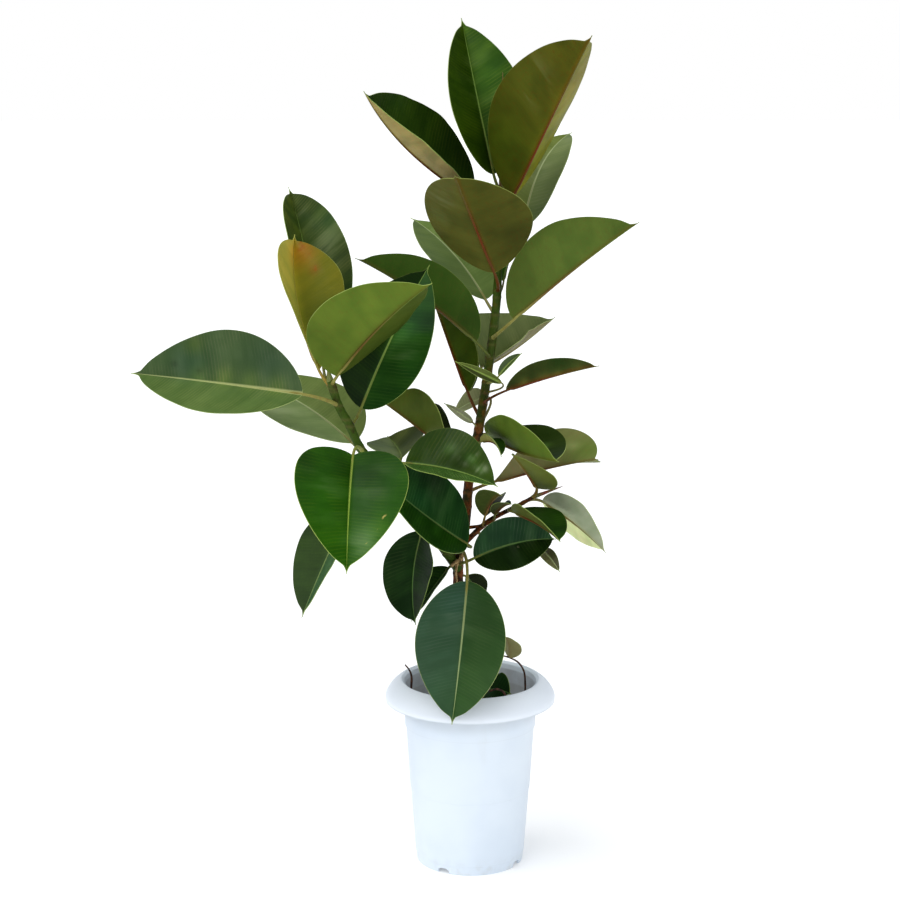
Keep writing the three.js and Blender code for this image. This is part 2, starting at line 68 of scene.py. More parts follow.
def take(*pieces: Piece) -> None:
    """Selects only these pieces, the first one as the active one.

    Args:
        *pieces: The pieces, or none to leave nothing selected.
    """
    bpy.ops.object.select_all(action="DESELECT")
    for piece in pieces:
        piece.select_set(True)
        bpy.context.view_layer.objects.active = pieces[0]


def named(piece: Piece, name: str) -> Piece:
    """Gives a piece and its mesh one name, and returns the piece."""
    piece.name = piece.data.name = name
    return piece


def put(name: str, data: bpy.types.ID) -> Piece:
    """Puts a new object in the scene.

    Args:
        name: The object's name.
        data: Its mesh, curve, light or camera.

    Returns:
        The object.
    """
    thing = bpy.data.objects.new(name, data)
    bpy.context.scene.collection.objects.link(thing)
    return thing


def solid(add: Callable[..., object], scale: Point = (1, 1, 1), **settings: object) -> Piece:
    """Adds a ready-made solid and fixes its place.

    Args:
        add: The operator that makes it.
        scale: How much it is stretched along its own axes.
        **settings: The operator's settings.

    Returns:
        The solid.
    """
    take()
    add(**settings)
    bpy.context.object.scale = scale
    bpy.ops.object.transform_apply(location=True, rotation=True, scale=True)
    return bpy.context.object


@contextmanager
def editing() -> Iterator[None]:
    """Opens the active mesh with all of it selected, and closes it again."""
    bpy.ops.object.mode_set(mode="EDIT")
    bpy.ops.mesh.select_all(action="SELECT")
    yield
    bpy.ops.object.mode_set(mode="OBJECT")


def modify(piece: Piece, kind: str, **settings: object) -> None:
    """Adds one modifier to a piece and applies it.

    Args:
        piece: The piece to change.
        kind: The modifier's type, such as "SOLIDIFY".
        **settings: The modifier's own settings.
    """
    take(piece)
    modifier = piece.modifiers.new(kind.lower(), kind)
    for key, value in settings.items():
        setattr(modifier, key, value)
    bpy.ops.object.modifier_apply(modifier=modifier.name)


def cut(piece: Piece, tool: Piece, operation: str) -> None:
    """Joins a tool to a piece or cuts it away from it, and removes the tool."""
    modify(piece, "BOOLEAN", operation=operation, object=tool, solver="EXACT")
    bpy.data.objects.remove(tool)


def vertices(piece: Piece) -> np.ndarray:
    """Returns a piece's vertices, one row of x, y, z for each."""
    return np.array([vertex.co[:] for vertex in piece.data.vertices])


def move_vertices(piece: Piece, places: np.ndarray) -> None:
    """Puts a piece's vertices at new places, one row of x, y, z for each."""
    piece.data.vertices.foreach_set("co", places.ravel())
    piece.data.update()


def store(piece: Piece, name: str, values: np.ndarray) -> None:
    """Keeps one number or three on each vertex for the materials to read.

    Args:
        piece: A mesh object.
        name: The attribute's name.
        values: The numbers, in rows where a vertex has three.
    """
    kind, key = ("FLOAT", "value") if values.ndim == 1 else ("FLOAT_VECTOR", "vector")
    attribute = piece.data.attributes.new(name, kind, "POINT")
    attribute.data.foreach_set(key, values.astype(np.float32).ravel())


def store_map(piece: Piece, name: str, values: np.ndarray) -> None:
    """Keeps a pair of numbers on each vertex as a UV map.

    Args:
        piece: A mesh object.
        name: The map's name.
        values: Two numbers for each vertex.
    """
    corners = [loop.vertex_index for loop in piece.data.loops]
    layer = piece.data.uv_layers.new(name=name, do_init=False)
    layer.data.foreach_set("uv", values[corners].astype(np.float32).ravel())


def coat(piece: Piece, degrees: float, *materials: Material) -> None:
    """Gives a piece its materials and shades it smooth, except at sharper turns.

    Args:
        piece: A mesh object.
        degrees: The angle from which an edge stays sharp.
        *materials: The materials.
    """
    for material in materials:
        piece.data.materials.append(material)
    take(piece)
    bpy.ops.object.shade_smooth_by_angle(angle=math.radians(degrees))


def join(pieces: list[Piece], name: str) -> Piece:
    """Joins several meshes into one piece.

    Args:
        pieces: The objects, the one that the others join first.
        name: The joined piece's name.

    Returns:
        The joined piece.
    """
    take(*pieces)
    bpy.ops.object.join()
    return named(pieces[0], name)


def close_seams(piece: Piece) -> None:
    """Merges a closed piece's doubled vertices and turns its faces outwards.

    Args:
        piece: A mesh object.
    """
    take(piece)
    with editing():
        bpy.ops.mesh.remove_doubles(threshold=1e-6)
        bpy.ops.mesh.normals_make_consistent(inside=False)


def rounded_rod(name: str, points: np.ndarray, radii: np.ndarray, bevel: int) -> Piece:
    """Makes a closed round rod along points, as wide as each point says.

    Args:
        name: The rod's name.
        points: One row of x, y, z for each point, from end to end.
        radii: The radius at each point.
        bevel: How finely the rod is rounded; it has four sides and two more for each.

    Returns:
        The rod.
    """
    line = bpy.data.curves.new(name, "CURVE")
    line.dimensions = "3D"
    line.bevel_depth = 1.0
    line.bevel_resolution = bevel
    line.use_fill_caps = True
    spline = line.splines.new("POLY")
    spline.points.add(len(points) - 1)
    spline.points.foreach_set("co", np.column_stack([points, np.ones(len(points))]).ravel())
    spline.points.foreach_set("radius", radii)
    take(put(name, line))
    bpy.ops.object.convert(target="MESH")
    rod = named(bpy.context.object, name)
    while rod.data.uv_layers:
        rod.data.uv_layers.remove(rod.data.uv_layers[0])
    close_seams(rod)
    return rod


def stacked_rings(name: str, profile: list[tuple[float, float]], segments: int) -> Piece:
    """Raises a round closed body from a circle, one extruded ring after another.

    Args:
        name: The body's name.
        profile: Each ring's radius and height, from the underside's middle round to the top's.
        segments: How many vertices each ring has.

    Returns:
        The body.
    """
    radius, height = profile[0]
    circle = bpy.ops.mesh.primitive_circle_add
    body = named(solid(circle, vertices=segments, radius=radius, location=(0, 0, height)), name)
    with editing():
        bpy.ops.mesh.edge_face_add()
        for wider, higher in profile[1:]:
            rise = {"value": (0, 0, higher - height)}
            bpy.ops.mesh.extrude_edges_move(TRANSFORM_OT_translate=rise)
            growth = wider / radius
            bpy.ops.transform.resize(value=(growth, growth, 1), center_override=(0, 0, higher))
            radius, height = wider, higher
        bpy.ops.mesh.edge_face_add()
    close_seams(body)
    return body


def stand_for(piece: Piece, slot: str, *nodes: str) -> None:
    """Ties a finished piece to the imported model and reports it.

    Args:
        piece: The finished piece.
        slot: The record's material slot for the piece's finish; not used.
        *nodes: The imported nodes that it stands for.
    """
    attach(piece, "root")
    if nodes:
        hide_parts(*nodes)
    LOG.info("%s: %d faces", piece.name, len(piece.data.polygons))


# ---- shader writing


@dataclass(frozen=True)
class Value:
    """A shader socket that takes part in Python arithmetic."""

    shader: "Shader"
    socket: bpy.types.NodeSocket

    def math(self, operation: str, *others: "Value | float") -> "Value":
        """Returns what a Math node makes of this value and the others."""
        return self.shader.math(operation, self, *others)

    def __add__(self, other: "Value | float") -> "Value":
        """Returns the sum."""
        return self.math("ADD", other)

    def __sub__(self, other: "Value | float") -> "Value":
        """Returns the difference."""
        return self.math("SUBTRACT", other)

    def __rsub__(self, other: float) -> "Value":
        """Returns the difference from a number."""
        return self.shader.math("SUBTRACT", other, self)

    def __mul__(self, other: "Value | float") -> "Value":
        """Returns the product."""
        return self.math("MULTIPLY", other)

    def __truediv__(self, other: "Value | float") -> "Value":
        """Returns the quotient."""
        return self.math("DIVIDE", other)

    __radd__ = __add__
    __rmul__ = __mul__

    def band(self, low: float, high: float) -> "Value":
        """Rises smoothly from 0 at low to 1 at high."""
        sockets = {"Value": self, "From Min": low, "From Max": high}
        return self.shader.node("MapRange", sockets, interpolation_type="SMOOTHSTEP")


class Shader:
    """One material or world, written as a tree of nodes."""

    def __init__(self, name: str, world: bool = False) -> None:
        """Starts a material, or a world, that holds only its surface node.

        Args:
            name: Its name.
            world: Whether it is a world.
        """
        self.owner = bpy.data.worlds.new(name) if world else bpy.data.materials.new(name)
        self.owner.use_nodes = True
        self.tree = self.owner.node_tree
        surfaces = ("BSDF_PRINCIPLED", "BACKGROUND")
        self.surface = next(node for node in self.tree.nodes if node.type in surfaces)

    def node(
        self, kind: str, sockets: dict | None = None, output: int | str = 0, **settings: object
    ) -> Value:
        """Adds one node.

        Args:
            kind: The node's type, without the "ShaderNode" that each starts with.
            sockets: Its sockets' values or links, by name or number.
            output: The name or number of the output that is wanted.
            **settings: Its settings, which are set first.

        Returns:
            The output.
        """
        made = self.tree.nodes.new("ShaderNode" + kind)
        for key, value in settings.items():
            setattr(made, key, value)
        self.feed(made, sockets or {})
        return Value(self, made.outputs[output])

    def feed(self, target: bpy.types.Node, sockets: dict) -> None:
        """Sets or links a node's sockets.

        Args:
            target: The node.
            sockets: Values or links, by the socket's name or number.
        """
        for key, value in sockets.items():
            if isinstance(value, Value):
                self.tree.links.new(value.socket, target.inputs[key])
            else:
                target.inputs[key].default_value = value

    def dress(
        self, colour: Value, roughness: Value | float, normal: Value | None = None, gloss: float = 0.5
    ) -> Material:
        """Feeds the surface.

        Args:
            colour: The colour.
            roughness: The roughness.
            normal: The bumped normal, if there is one.
            gloss: How strongly it mirrors.

        Returns:
            The finished material.
        """
        sockets = {"Base Color": colour, "Roughness": roughness, "Specular IOR Level": gloss}
        self.feed(self.surface, sockets | ({"Normal": normal} if normal else {}))
        return self.owner

    def math(self, operation: str, *operands: Value | float) -> Value:
        """Returns what a Math node makes of its operands."""
        return self.node("Math", dict(enumerate(operands)), operation=operation)

    def position(self) -> Value:
        """Returns the place on the object, in metres."""
        return self.node("TexCoord", output="Object")

    def split(self, vector: Value) -> list[Value]:
        """Returns a vector's three numbers."""
        first = self.node("SeparateXYZ", {0: vector})
        return [Value(self, output) for output in first.socket.node.outputs]

    def map_pair(self, name: str) -> list[Value]:
        """Returns the two numbers that a UV map holds."""
        return self.split(self.node("UVMap", uv_map=name))[:2]

    def shade(self, name: str) -> Value:
        """Returns the number that an attribute of the mesh holds."""
        return self.node("Attribute", output="Fac", attribute_name=name)

    def grain(self, scale: float, detail: float = 2.0, stretch: Point = (1, 1, 1)) -> Value:
        """Returns soft noise, fixed to the object, that changes this many times in a metre."""
        place = self.node("Mapping", {0: self.position(), "Scale": stretch})
        return self.node("TexNoise", {"Vector": place, "Scale": scale, "Detail": detail})

    def mix(self, share: Value | float, low: Value | Colour | int, high: Value | Colour | int) -> Value:
        """Mixes two colours, where a whole number is a display colour; share is the second one's."""
        low, high = (paint(colour) if isinstance(colour, int) else colour for colour in (low, high))
        return self.node("Mix", {0: share, 6: low, 7: high}, 2, data_type="RGBA")

    def tint(self, colour: Value, name: str) -> Value:
        """Returns a colour multiplied by the one that an attribute of the mesh holds."""
        factor = self.node("Attribute", output="Vector", attribute_name=name)
        return self.node("VectorMath", {0: colour, 1: factor}, operation="MULTIPLY")

    def relief(self, height: Value, strength: float, depth: float) -> Value:
        """Turns a height into a bumped normal, where a height of 1 is this many metres deep."""
        return self.node("Bump", {"Strength": strength, "Distance": depth, "Height": height})


# ---- leaf finishes


@dataclass(frozen=True)
class LeafFinish:
    """The colours of one kind of leaf, as display colours, and how glossy it is."""

    upper: int
    deep: int
    under: int
    rib: int
    under_rib: int
    stalk: int
    rim: int = 0x93A352
    blemish: int = 0x9C6A1E
    roughness: float = 0.34
    gloss: float = 0.22


class Look(Enum):
    """The kinds of leaf on this plant; each is a material slot of the record."""

    DARK = LeafFinish(0x23450F, 0x12300A, 0x5A6328, 0x7D9A4A, 0x6A3C20, 0x6F7A35, gloss=0.08)
    # NIGHT is a darker, less glossy copy of DARK for the leaves that lie in shade: painted shade.
    NIGHT = LeafFinish(
        0x16340F, 0x0A2008, 0x3C4A24, 0x5F7F45, 0x6A4A2A, 0x6F7A35, blemish=0xB8B08C, gloss=0.03)
    DUSK = LeafFinish(0x43592C, 0x304520, 0x5C6840, 0x8FA562, 0x6A4A2C, 0x73803F, gloss=0.1)
    GREEN = LeafFinish(0x2F5512, 0x20400C, 0x3F561A, 0x8AA552, 0x5A4420, 0x5C6A2C)
    GLOSS = LeafFinish(0x2C5216, 0x1C3E0C, 0x566630, 0x8FAE52, 0x7A5A34, 0x7C8A3C, roughness=0.24)
    # SHEEN's colours are bluer for the sheen on its leaves: painted sheen.
    SHEEN = LeafFinish(0x3B6230, 0x2C5222, 0x5C6C40, 0xA6B67A, 0x7A5A34, 0x8C8A44)
    BRIGHT = LeafFinish(
        0x2C5F10, 0x1F4D0A, 0x5C6C30, 0xA3BE52, 0x7A5A34, 0x8C9A44, blemish=0xB4A55A, gloss=0.16)
    FRESH = LeafFinish(0x4A6B22, 0x38581A, 0x5E7828, 0x9DB65A, 0x665020, 0x8C8A44, gloss=0.1)
    OLIVE = LeafFinish(0x46581F, 0x344616, 0x6A7030, 0x9DAA5A, 0x7A4E2C, 0x8C7A3C)
    BRONZE = LeafFinish(0x3A4A16, 0x26360E, 0x5A6020, 0x8F9448, 0x6A3008, 0x5E3A14, gloss=0.14)
    # GREY's paler grey-green is partly the leaves' own colour and partly painted sheen.
    GREY = LeafFinish(0x5F783C, 0x4C662E, 0x86915C, 0xB4C08A, 0x8A7A4A, 0x8C8A50)
    AGEING = LeafFinish(0x87901F, 0x6F8018, 0x8C8A2E, 0xB8B04A, 0x8A6028, 0x9C8A3C, blemish=0x8C5200)
    PALE = LeafFinish(0x97A066, 0x828C54, 0xA09A6A, 0xB4B880, 0x8A6A44, 0x6A3A22)

    def slot(self) -> str:
        """Returns the slot's name, with which the materials' names start."""
        return f"leaf_{self.name.lower()}"


RIB_WIDTH = (0.003, 0.0022)  # half the pale midrib's width at the base, and what it loses to the tip
RIM_WIDTH = (0.0002, 0.0009)  # where the pale line along the margin starts to fade, and where it ends
VEIN_PITCH = 0.0046
VEIN_SLANT = 0.3  # how far a side vein climbs for each metre across
# The pale colour of painted reflection streaks on the leaves.
PAINTED_GLEAM = 0xB4BE98
PALE_RIB = 0xD2CE86
STREAK = (42.0, 8.0)  # how often the soft streaks change in a metre, along the leaf and across it


@dataclass
class LeafDress:
    """Makes the four materials of one look."""

    look: Look

    def climb(self, shader: Shader) -> tuple[Value, Value]:
        """Returns the distance from the midrib, and the one along the leaf where a side vein starts."""
        across, along = shader.map_pair("rib")
        return across, along - across.math("ABSOLUTE") * VEIN_SLANT

    def vein_lines(self, shader: Shader) -> Value:
        """Draws the many fine side veins, which fade out in places.

        Args:
            shader: The material that they are drawn in.

        Returns:
            1 on a vein and 0 between two.
        """
        phase = self.climb(shader)[1] / VEIN_PITCH + shader.grain(35, 1) * 0.5
        ridge = (phase.math("FRACT") - 0.5).math("ABSOLUTE") * 2
        return ridge.band(0.5, 1.0) * shader.grain(28, 2).band(0.35, 0.65)

    def streaks(self, shader: Shader) -> Value:
        """Draws broad soft streaks that run with the side veins.

        Args:
            shader: The material that they are drawn in.

        Returns:
            A value from 0 to 1, near 0.5 on average.
        """
        across, climb = self.climb(shader)
        sockets = {"X": climb * STREAK[0], "Y": across * STREAK[1], "Z": shader.shade("seed")}
        place = shader.node("CombineXYZ", sockets)
        return shader.node("TexNoise", {"Vector": place, "Scale": 1, "Detail": 3})

    def rim_line(self, shader: Shader) -> Value:
        """Returns 1 on the pale line along the margin."""
        return 1 - shader.map_pair("rim")[0].band(*RIM_WIDTH)

    def own_marks(self, shader: Shader, body: Value, streaks: Value, side: str) -> Value:
        """Adds what each leaf has of its own: its tint with painted light and shade, pale streaks of painted
        reflection and ragged blemishes.

        Args:
            shader: The material.
            body: The colour so far.
            streaks: The soft streaks, which break the painted reflection into streaks.
            side: The attribute that holds this side's tint, with its painted light and shade.

        Returns:
            The marked colour.
        """
        # Painted reflection: pale streaks where the leaf's gleam spots lie.
        gleam = shader.shade("gleam") * streaks.band(0.46, 0.62)
        body = shader.mix(gleam, shader.tint(body, side), PAINTED_GLEAM)
        spots = (shader.shade("blemish") + shader.grain(130, 4) * 0.9).band(0.85, 1.2)
        return shader.mix(spots, body, self.look.value.blemish)

    def upper(self) -> Material:
        """Makes the glossy upper side.

        Returns:
            The material.
        """
        finish, shader = self.look.value, Shader(f"{self.look.slot()}_upper")
        across = shader.map_pair("rib")[0].math("ABSOLUTE")
        share = shader.map_pair("rim")[1]
        veins, streaks = self.vein_lines(shader), self.streaks(shader)
        pale = shader.shade("pale_rib")
        rib = 1 - (across / ((RIB_WIDTH[0] - share * RIB_WIDTH[1]) * (pale + 1))).band(0.3, 1.0)
        body = shader.mix(streaks.band(0.26, 0.74), finish.deep, finish.upper)
        body = shader.mix(shader.grain(24, 2).band(0.45, 0.7) * 0.6, body, finish.deep)
        body = shader.mix(veins * 0.05, body, finish.rib)
        body = self.own_marks(shader, body, streaks, "upper_tint")
        body = shader.mix(rib * 0.75, body, shader.mix(pale, finish.rib, PALE_RIB))
        body = shader.mix(self.rim_line(shader) * 0.35, body, finish.rim)
        roughness = shader.grain(120, 2) * 0.1 + streaks * 0.1 + (finish.roughness - 0.1)
        height = streaks + shader.grain(60, 2) * 0.25 - veins * 0.05 - rib * 0.2
        return shader.dress(body, roughness, shader.relief(height, 0.3, 0.0032), finish.gloss)

    def under(self) -> Material:
        """Makes the duller underside.

        Returns:
            The material.
        """
        finish, shader = self.look.value, Shader(f"{self.look.slot()}_under")
        veins, streaks = self.vein_lines(shader), self.streaks(shader)
        body = shader.mix(streaks.band(0.2, 0.7) * 0.4 + 0.6, finish.deep, finish.under)
        body = shader.mix(shader.grain(24, 2).band(0.45, 0.7) * 0.3, body, finish.deep)
        body = shader.mix(shader.grain(240, 3).band(0.5, 0.72) * 0.18, body, finish.under_rib)
        body = shader.mix(veins * 0.08, body, finish.under_rib)
        body = self.own_marks(shader, body, streaks, "under_tint")
        near_rib = 1 - shader.map_pair("rib")[0].math("ABSOLUTE").band(0.001, 0.006)
        body = shader.mix(near_rib * 0.3, body, finish.under_rib)
        body = shader.mix(self.rim_line(shader) * 0.5, body, finish.rim)
        height = streaks * 0.7 + veins * 0.1 + shader.grain(60, 2) * 0.25
        normal = shader.relief(height, 0.25, 0.0028)
        return shader.dress(body, shader.grain(90, 2) * 0.15 + 0.45, normal, finish.gloss * 0.25)

    def rim(self) -> Material:
        """Makes the thin pale edge."""
        finish, shader = self.look.value, Shader(f"{self.look.slot()}_rim")
        return shader.dress(shader.mix(shader.grain(180, 2), finish.rim, finish.rib), 0.5, gloss=0.2)

    def stalk(self) -> Material:
        """Makes the stalk, which turns into the underside's midrib.

        Returns:
            The material.
        """
        finish, shader = self.look.value, Shader(f"{self.look.slot()}_stalk")
        along = shader.shade("along")
        streaks = shader.grain(150, 3).band(0.35, 0.7) * 0.45
        body = shader.mix(along.band(1.0, 1.3), finish.stalk, finish.under_rib)
        body = shader.mix(along.band(1.3, 1.9) * 0.85, body, finish.under)
        body = shader.mix(streaks * (1 - along.band(0.9, 1.3)), body, finish.under_rib)
        normal = shader.relief(shader.grain(400, 2), 0.2, 0.0005)
        return shader.dress(body, shader.grain(200, 2) * 0.2 + 0.35, normal, 0.15)

    def materials(self) -> list[Material]:
        """Returns the upper side, the underside, the edge and the stalk."""
        return [self.upper(), self.under(), self.rim(), self.stalk()]


# ---- stems


BARK_SLOT = "bark"
STEM_STEPS = 24  # how many samples each stretch of a stem has


def smooth_line(points: tuple[Point, ...], steps: int) -> np.ndarray:
    """Runs a smooth curve through points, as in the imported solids.

    Args:
        points: The points, from end to end.
        steps: How many samples each stretch between two points has.

    Returns:
        One row of x, y, z for each sample.
    """
    given = np.array(points, float)
    ends = np.vstack([2 * given[0] - given[1], given, 2 * given[-1] - given[-2]])
    gaps = np.sqrt(np.linalg.norm(np.diff(ends, axis=0), axis=1))
    share = np.arange(steps)[:, None] / steps
    samples = []
    for index in range(len(given) - 1):
        before, here, there, after = ends[index:index + 4]
        first, middle, last = gaps[index:index + 3]
        leave = (here - before) / first - (there - before) / (first + middle) + (there - here) / middle
        arrive = (there - here) / middle - (after - here) / (middle + last) + (after - there) / last
        leave, arrive = leave * middle, arrive * middle
        square = (3 * (there - here) - 2 * leave - arrive) * share**2
        samples.append(here + leave * share + square + (2 * (here - there) + leave + arrive) * share**3)
    return np.vstack([*samples, given[-1]])


def rows_at(wanted: np.ndarray | list[float], steps: np.ndarray, rows: np.ndarray) -> np.ndarray:
    """Returns rows of x, y, z, read off a line at the wanted places between its own steps."""
    return np.column_stack([np.interp(wanted, steps, rows[:, axis]) for axis in range(3)])


def tapered(radius: tuple[float, float], share: np.ndarray) -> np.ndarray:
    """Returns the radii of a rod that goes evenly from its first radius to its last."""
    return radius[0] + (radius[1] - radius[0]) * share


@dataclass(frozen=True)
class StemLine:
    """One stem: how it tapers, and the points of its smooth line, from its lower end up."""

    radius: tuple[float, float]
    points: tuple[Point, ...]

    def line(self) -> np.ndarray:
        """Returns the stem's samples, from its lower end up."""
        return smooth_line(self.points, STEM_STEPS)

    def at_height(self, height: float) -> np.ndarray:
        """Returns the place on the stem at a height above the floor."""
        line = self.line()
        return rows_at([height], line[:, 2], line)[0]


class StemName(Enum):
    """The stems that leaves grow from."""

    TRUNK = StemLine((0.008, 0.0054), (
        (-0.004, 0, 0.15), (-0.007, 0, 0.248), (-0.013, 0, 0.321), (-0.017, 0, 0.4),
        (-0.016, 0, 0.445), (-0.007, 0, 0.493), (-0.002, 0, 0.551), (0.01, 0, 0.616),
        (0.022, 0, 0.693), (0.029, 0, 0.745), (0.035, 0, 0.799), (0.038, 0, 0.87), (0.042, 0, 0.95),
    ))
    BRANCH = StemLine((0.007, 0.0055), (
        (-0.017, -0.002, 0.425), (-0.056, -0.035, 0.488), (-0.096, -0.07, 0.545),
        (-0.147, -0.105, 0.615), (-0.162, -0.115, 0.65), (-0.175, -0.12, 0.675),
        (-0.186, -0.125, 0.712),
    ))
    SHOOT = StemLine((0.004, 0.0026), (
        (-0.008, -0.002, 0.462), (0.025, -0.01, 0.495), (0.067, -0.015, 0.519), (0.088, -0.015, 0.531),
    ))
    TWIG = StemLine((0.0026, 0.0018), ((-0.006, 0, 0.483), (0.02, -0.014, 0.491), (0.035, -0.015, 0.5)))


STUBS = (
    StemLine((0.0034, 0.0022), (
        (-0.012, -0.002, 0.446), (-0.014, -0.013, 0.441), (-0.021, -0.018, 0.438),
        (-0.027, -0.02, 0.433),
    )),
    StemLine((0.0022, 0.001), ((-0.017, -0.014, 0.44), (-0.02, -0.02, 0.428), (-0.019, -0.02, 0.41))),
)


@dataclass(frozen=True)
class Bud:
    """A closed bud that ends a stem: where it starts and ends, its widest radius and its greenness."""

    name: str
    start: Point
    end: Point
    radius: float
    green: float = 0.0

    def build(self, material: Material) -> Piece:
        """Builds the bud as a rolled sheath with a spiral seam.

        Args:
            material: The sheath's material.

        Returns:
            The bud.
        """
        start, end = np.array(self.start), np.array(self.end)
        share = np.linspace(0, 1, 40)[:, None]
        radii = self.radius * (1 - share[:, 0] ** 1.3) + 0.0004
        bud = rounded_rod(self.name, start * (1 - share) + end * share, radii, 10)
        places = vertices(bud)
        axis = end - start
        along = ((places - start) @ axis) / (axis @ axis)
        centres = start + along[:, None] * axis
        turn = np.arctan2(places[:, 1] - centres[:, 1], places[:, 0] - centres[:, 0])
        seam = ((turn / (2 * math.pi) + along * 1.5) % 1.0)[:, None]
        move_vertices(bud, centres + (places - centres) * (1 - 0.14 * seam**6))
        store(bud, "green", np.full(len(places), self.green))
        coat(bud, 50, material)
        return bud


BUDS = (
    Bud("sheath_crown", (0.042, 0, 0.946), (0.042, 0, 1.108), 0.0046),
    Bud("sheath_shoot", (0.088, -0.015, 0.531), (0.127, -0.017, 0.546), 0.0026),
    Bud("sheath_branch", (-0.186, -0.125, 0.71), (-0.189, -0.127, 0.728), 0.0046, 0.8),
)


@dataclass(frozen=True)
class BarkFinish:
    """The colours of the stems, as display colours."""

    young: int = 0x38500E
    old: int = 0x2C1A08
    red: int = 0x763A10
    scar: int = 0x7A6240
    dead: int = 0xBE9C6A
    sheath: int = 0x8C3A2E
    sheath_green: int = 0x6F7A3A


@dataclass
class Stems:
    """The trunk, its branches and twigs, and the buds that end them."""

    finish: BarkFinish = BarkFinish()
    scar_swell: float = 0.07
    scar_reach: float = 0.0022
    scar_gap: float = 0.026
    bare_top: float = 0.004
    branch_youth: float = 0.4
    spacing: float = 0.0011
    unevenness: float = 0.04
    blunt_end: float = 0.6

    def scar_heights(self, stem: StemName) -> np.ndarray:
        """Lists the heights of a stem's ring scars, where leaves grow or grew.

        Args:
            stem: The stem.

        Returns:
            The heights, from low to high.
        """
        carried = [leaf.height for leaf in LEAVES if leaf.stem is stem]
        line = stem.value.line()
        draw = random.Random(stem.name)
        height = line[0, 2] + self.scar_gap
        while height < line[-1, 2] - self.bare_top:
            if min((abs(height - other) for other in carried), default=1.0) > self.scar_gap / 3:
                carried.append(height)
            height += self.scar_gap * draw.uniform(0.6, 1.3)
        return np.array(sorted(carried))

    def rod(self, stem: StemLine, name: str, material: Material, scars: np.ndarray) -> Piece:
        """Builds one stem, swollen a little at its scars.

        Args:
            stem: The stem's line.
            name: The rod's name.
            material: Its material.
            scars: The heights of its ring scars.

        Returns:
            The rod, with its scars kept in the attribute "scar".
        """
        coarse = stem.line()
        lengths = np.insert(np.cumsum(np.linalg.norm(np.diff(coarse, axis=0), axis=1)), 0, 0)
        wanted = np.linspace(0, lengths[-1], max(12, int(lengths[-1] / self.spacing)))
        points = rows_at(wanted, lengths, coarse)
        uneven = self.unevenness * np.array([noise.noise(Vector(point) * 60) for point in points])
        swell = self.scar_swell * self.ring_marks(points[:, 2], scars)
        radii = tapered(stem.radius, wanted / lengths[-1]) * (1 + swell + uneven)
        radii[-1] *= self.blunt_end
        made = rounded_rod(name, points, radii, 6)
        store(made, "scar", self.ring_marks(vertices(made)[:, 2], scars))
        coat(made, 60, material)
        return made

    def ring_marks(self, heights: np.ndarray, scars: np.ndarray) -> np.ndarray:
        """Returns 1 for a height on a ring scar, falling to 0 beside it."""
        nearest = np.abs(heights[:, None] - scars[None]).min(axis=1, initial=1.0)
        return np.exp(-((nearest / self.scar_reach) ** 2))

    def bark(self) -> Material:
        """Makes living bark: red-brown below, green above, with pale ring scars.

        Returns:
            The material.
        """
        finish, shader = self.finish, Shader("living_bark")
        height = shader.split(shader.position())[2]
        blotch = shader.grain(45, 4)
        age = (height + shader.shade("young") + blotch * 0.55).band(0.72, 1.12)
        brown = shader.mix(shader.grain(110, 4).band(0.4, 0.62), finish.old, finish.red)
        body = shader.mix(age, brown, finish.young)
        body = shader.mix(blotch.band(0.55, 0.66) * 0.6, body, finish.old)
        body = shader.mix(shader.shade("scar") * 0.2, body, finish.scar)
        specks = shader.grain(700, 2).band(0.66, 0.74)
        body = shader.mix(specks * 0.5, body, finish.scar)
        normal = shader.relief(shader.grain(260, 4, (1, 1, 0.25)) + specks * 0.4, 0.5, 0.0008)
        return shader.dress(body, shader.grain(90) * 0.25 + 0.45, normal, 0.12)

    def dead_wood(self) -> Material:
        """Makes the tan wood of the dead stub.

        Returns:
            The material.
        """
        shader = Shader("dead_stub_wood")
        fibres = shader.grain(420, 4, (1, 1, 0.2))
        body = shader.mix(fibres.band(0.3, 0.6) * 0.7 + 0.3, self.finish.old, self.finish.dead)
        return shader.dress(body, 0.8, shader.relief(fibres, 0.7, 0.001))

    def sheath(self) -> Material:
        """Makes the reddish sheath of a bud.

        Returns:
            The material.
        """
        shader = Shader("bud_sheath")
        streaks = shader.grain(140, 3, (1, 1, 0.15))
        green = streaks.band(0.35, 0.7) + shader.shade("green")
        body = shader.mix(green, self.finish.sheath, self.finish.sheath_green)
        return shader.dress(body, shader.grain(60) * 0.15 + 0.3, shader.relief(streaks, 0.25, 0.0006))

    def build(self) -> None:
        """Builds the stems and buds."""
        bark, wood, sheath = self.bark(), self.dead_wood(), self.sheath()
        rods = []
        for stem in StemName:
            rod = self.rod(stem.value, f"stem_{stem.name.lower()}", bark, self.scar_heights(stem))
            young = self.branch_youth if stem is StemName.BRANCH else 0.0
            store(rod, "young", np.full(len(rod.data.vertices), young))
            rods.append(rod)
        for number, stub in enumerate(STUBS):
            rods.append(self.rod(stub, f"dead_stub_{number}", wood, np.array([])))
        stand_for(join(rods, "stems_bark"), BARK_SLOT, "stems")
        for bud in BUDS:
            stand_for(bud.build(sheath), BARK_SLOT)


# ---- leaves


DRIP_TIP = 0.055  # the drawn-out point's share of a blade's length
DRIP_FLARE = 0.16  # how wide the point's foot is, as a share of the blade's width
DRIP_FOOT = 0.1  # the share of the length over which that foot tapers
BLADE_CUP = 12.0  # degrees that each half curls up from midrib to margin
LEAST_REACH = (0.0012, 0.0004)  # the smallest half width near the base and near the tip


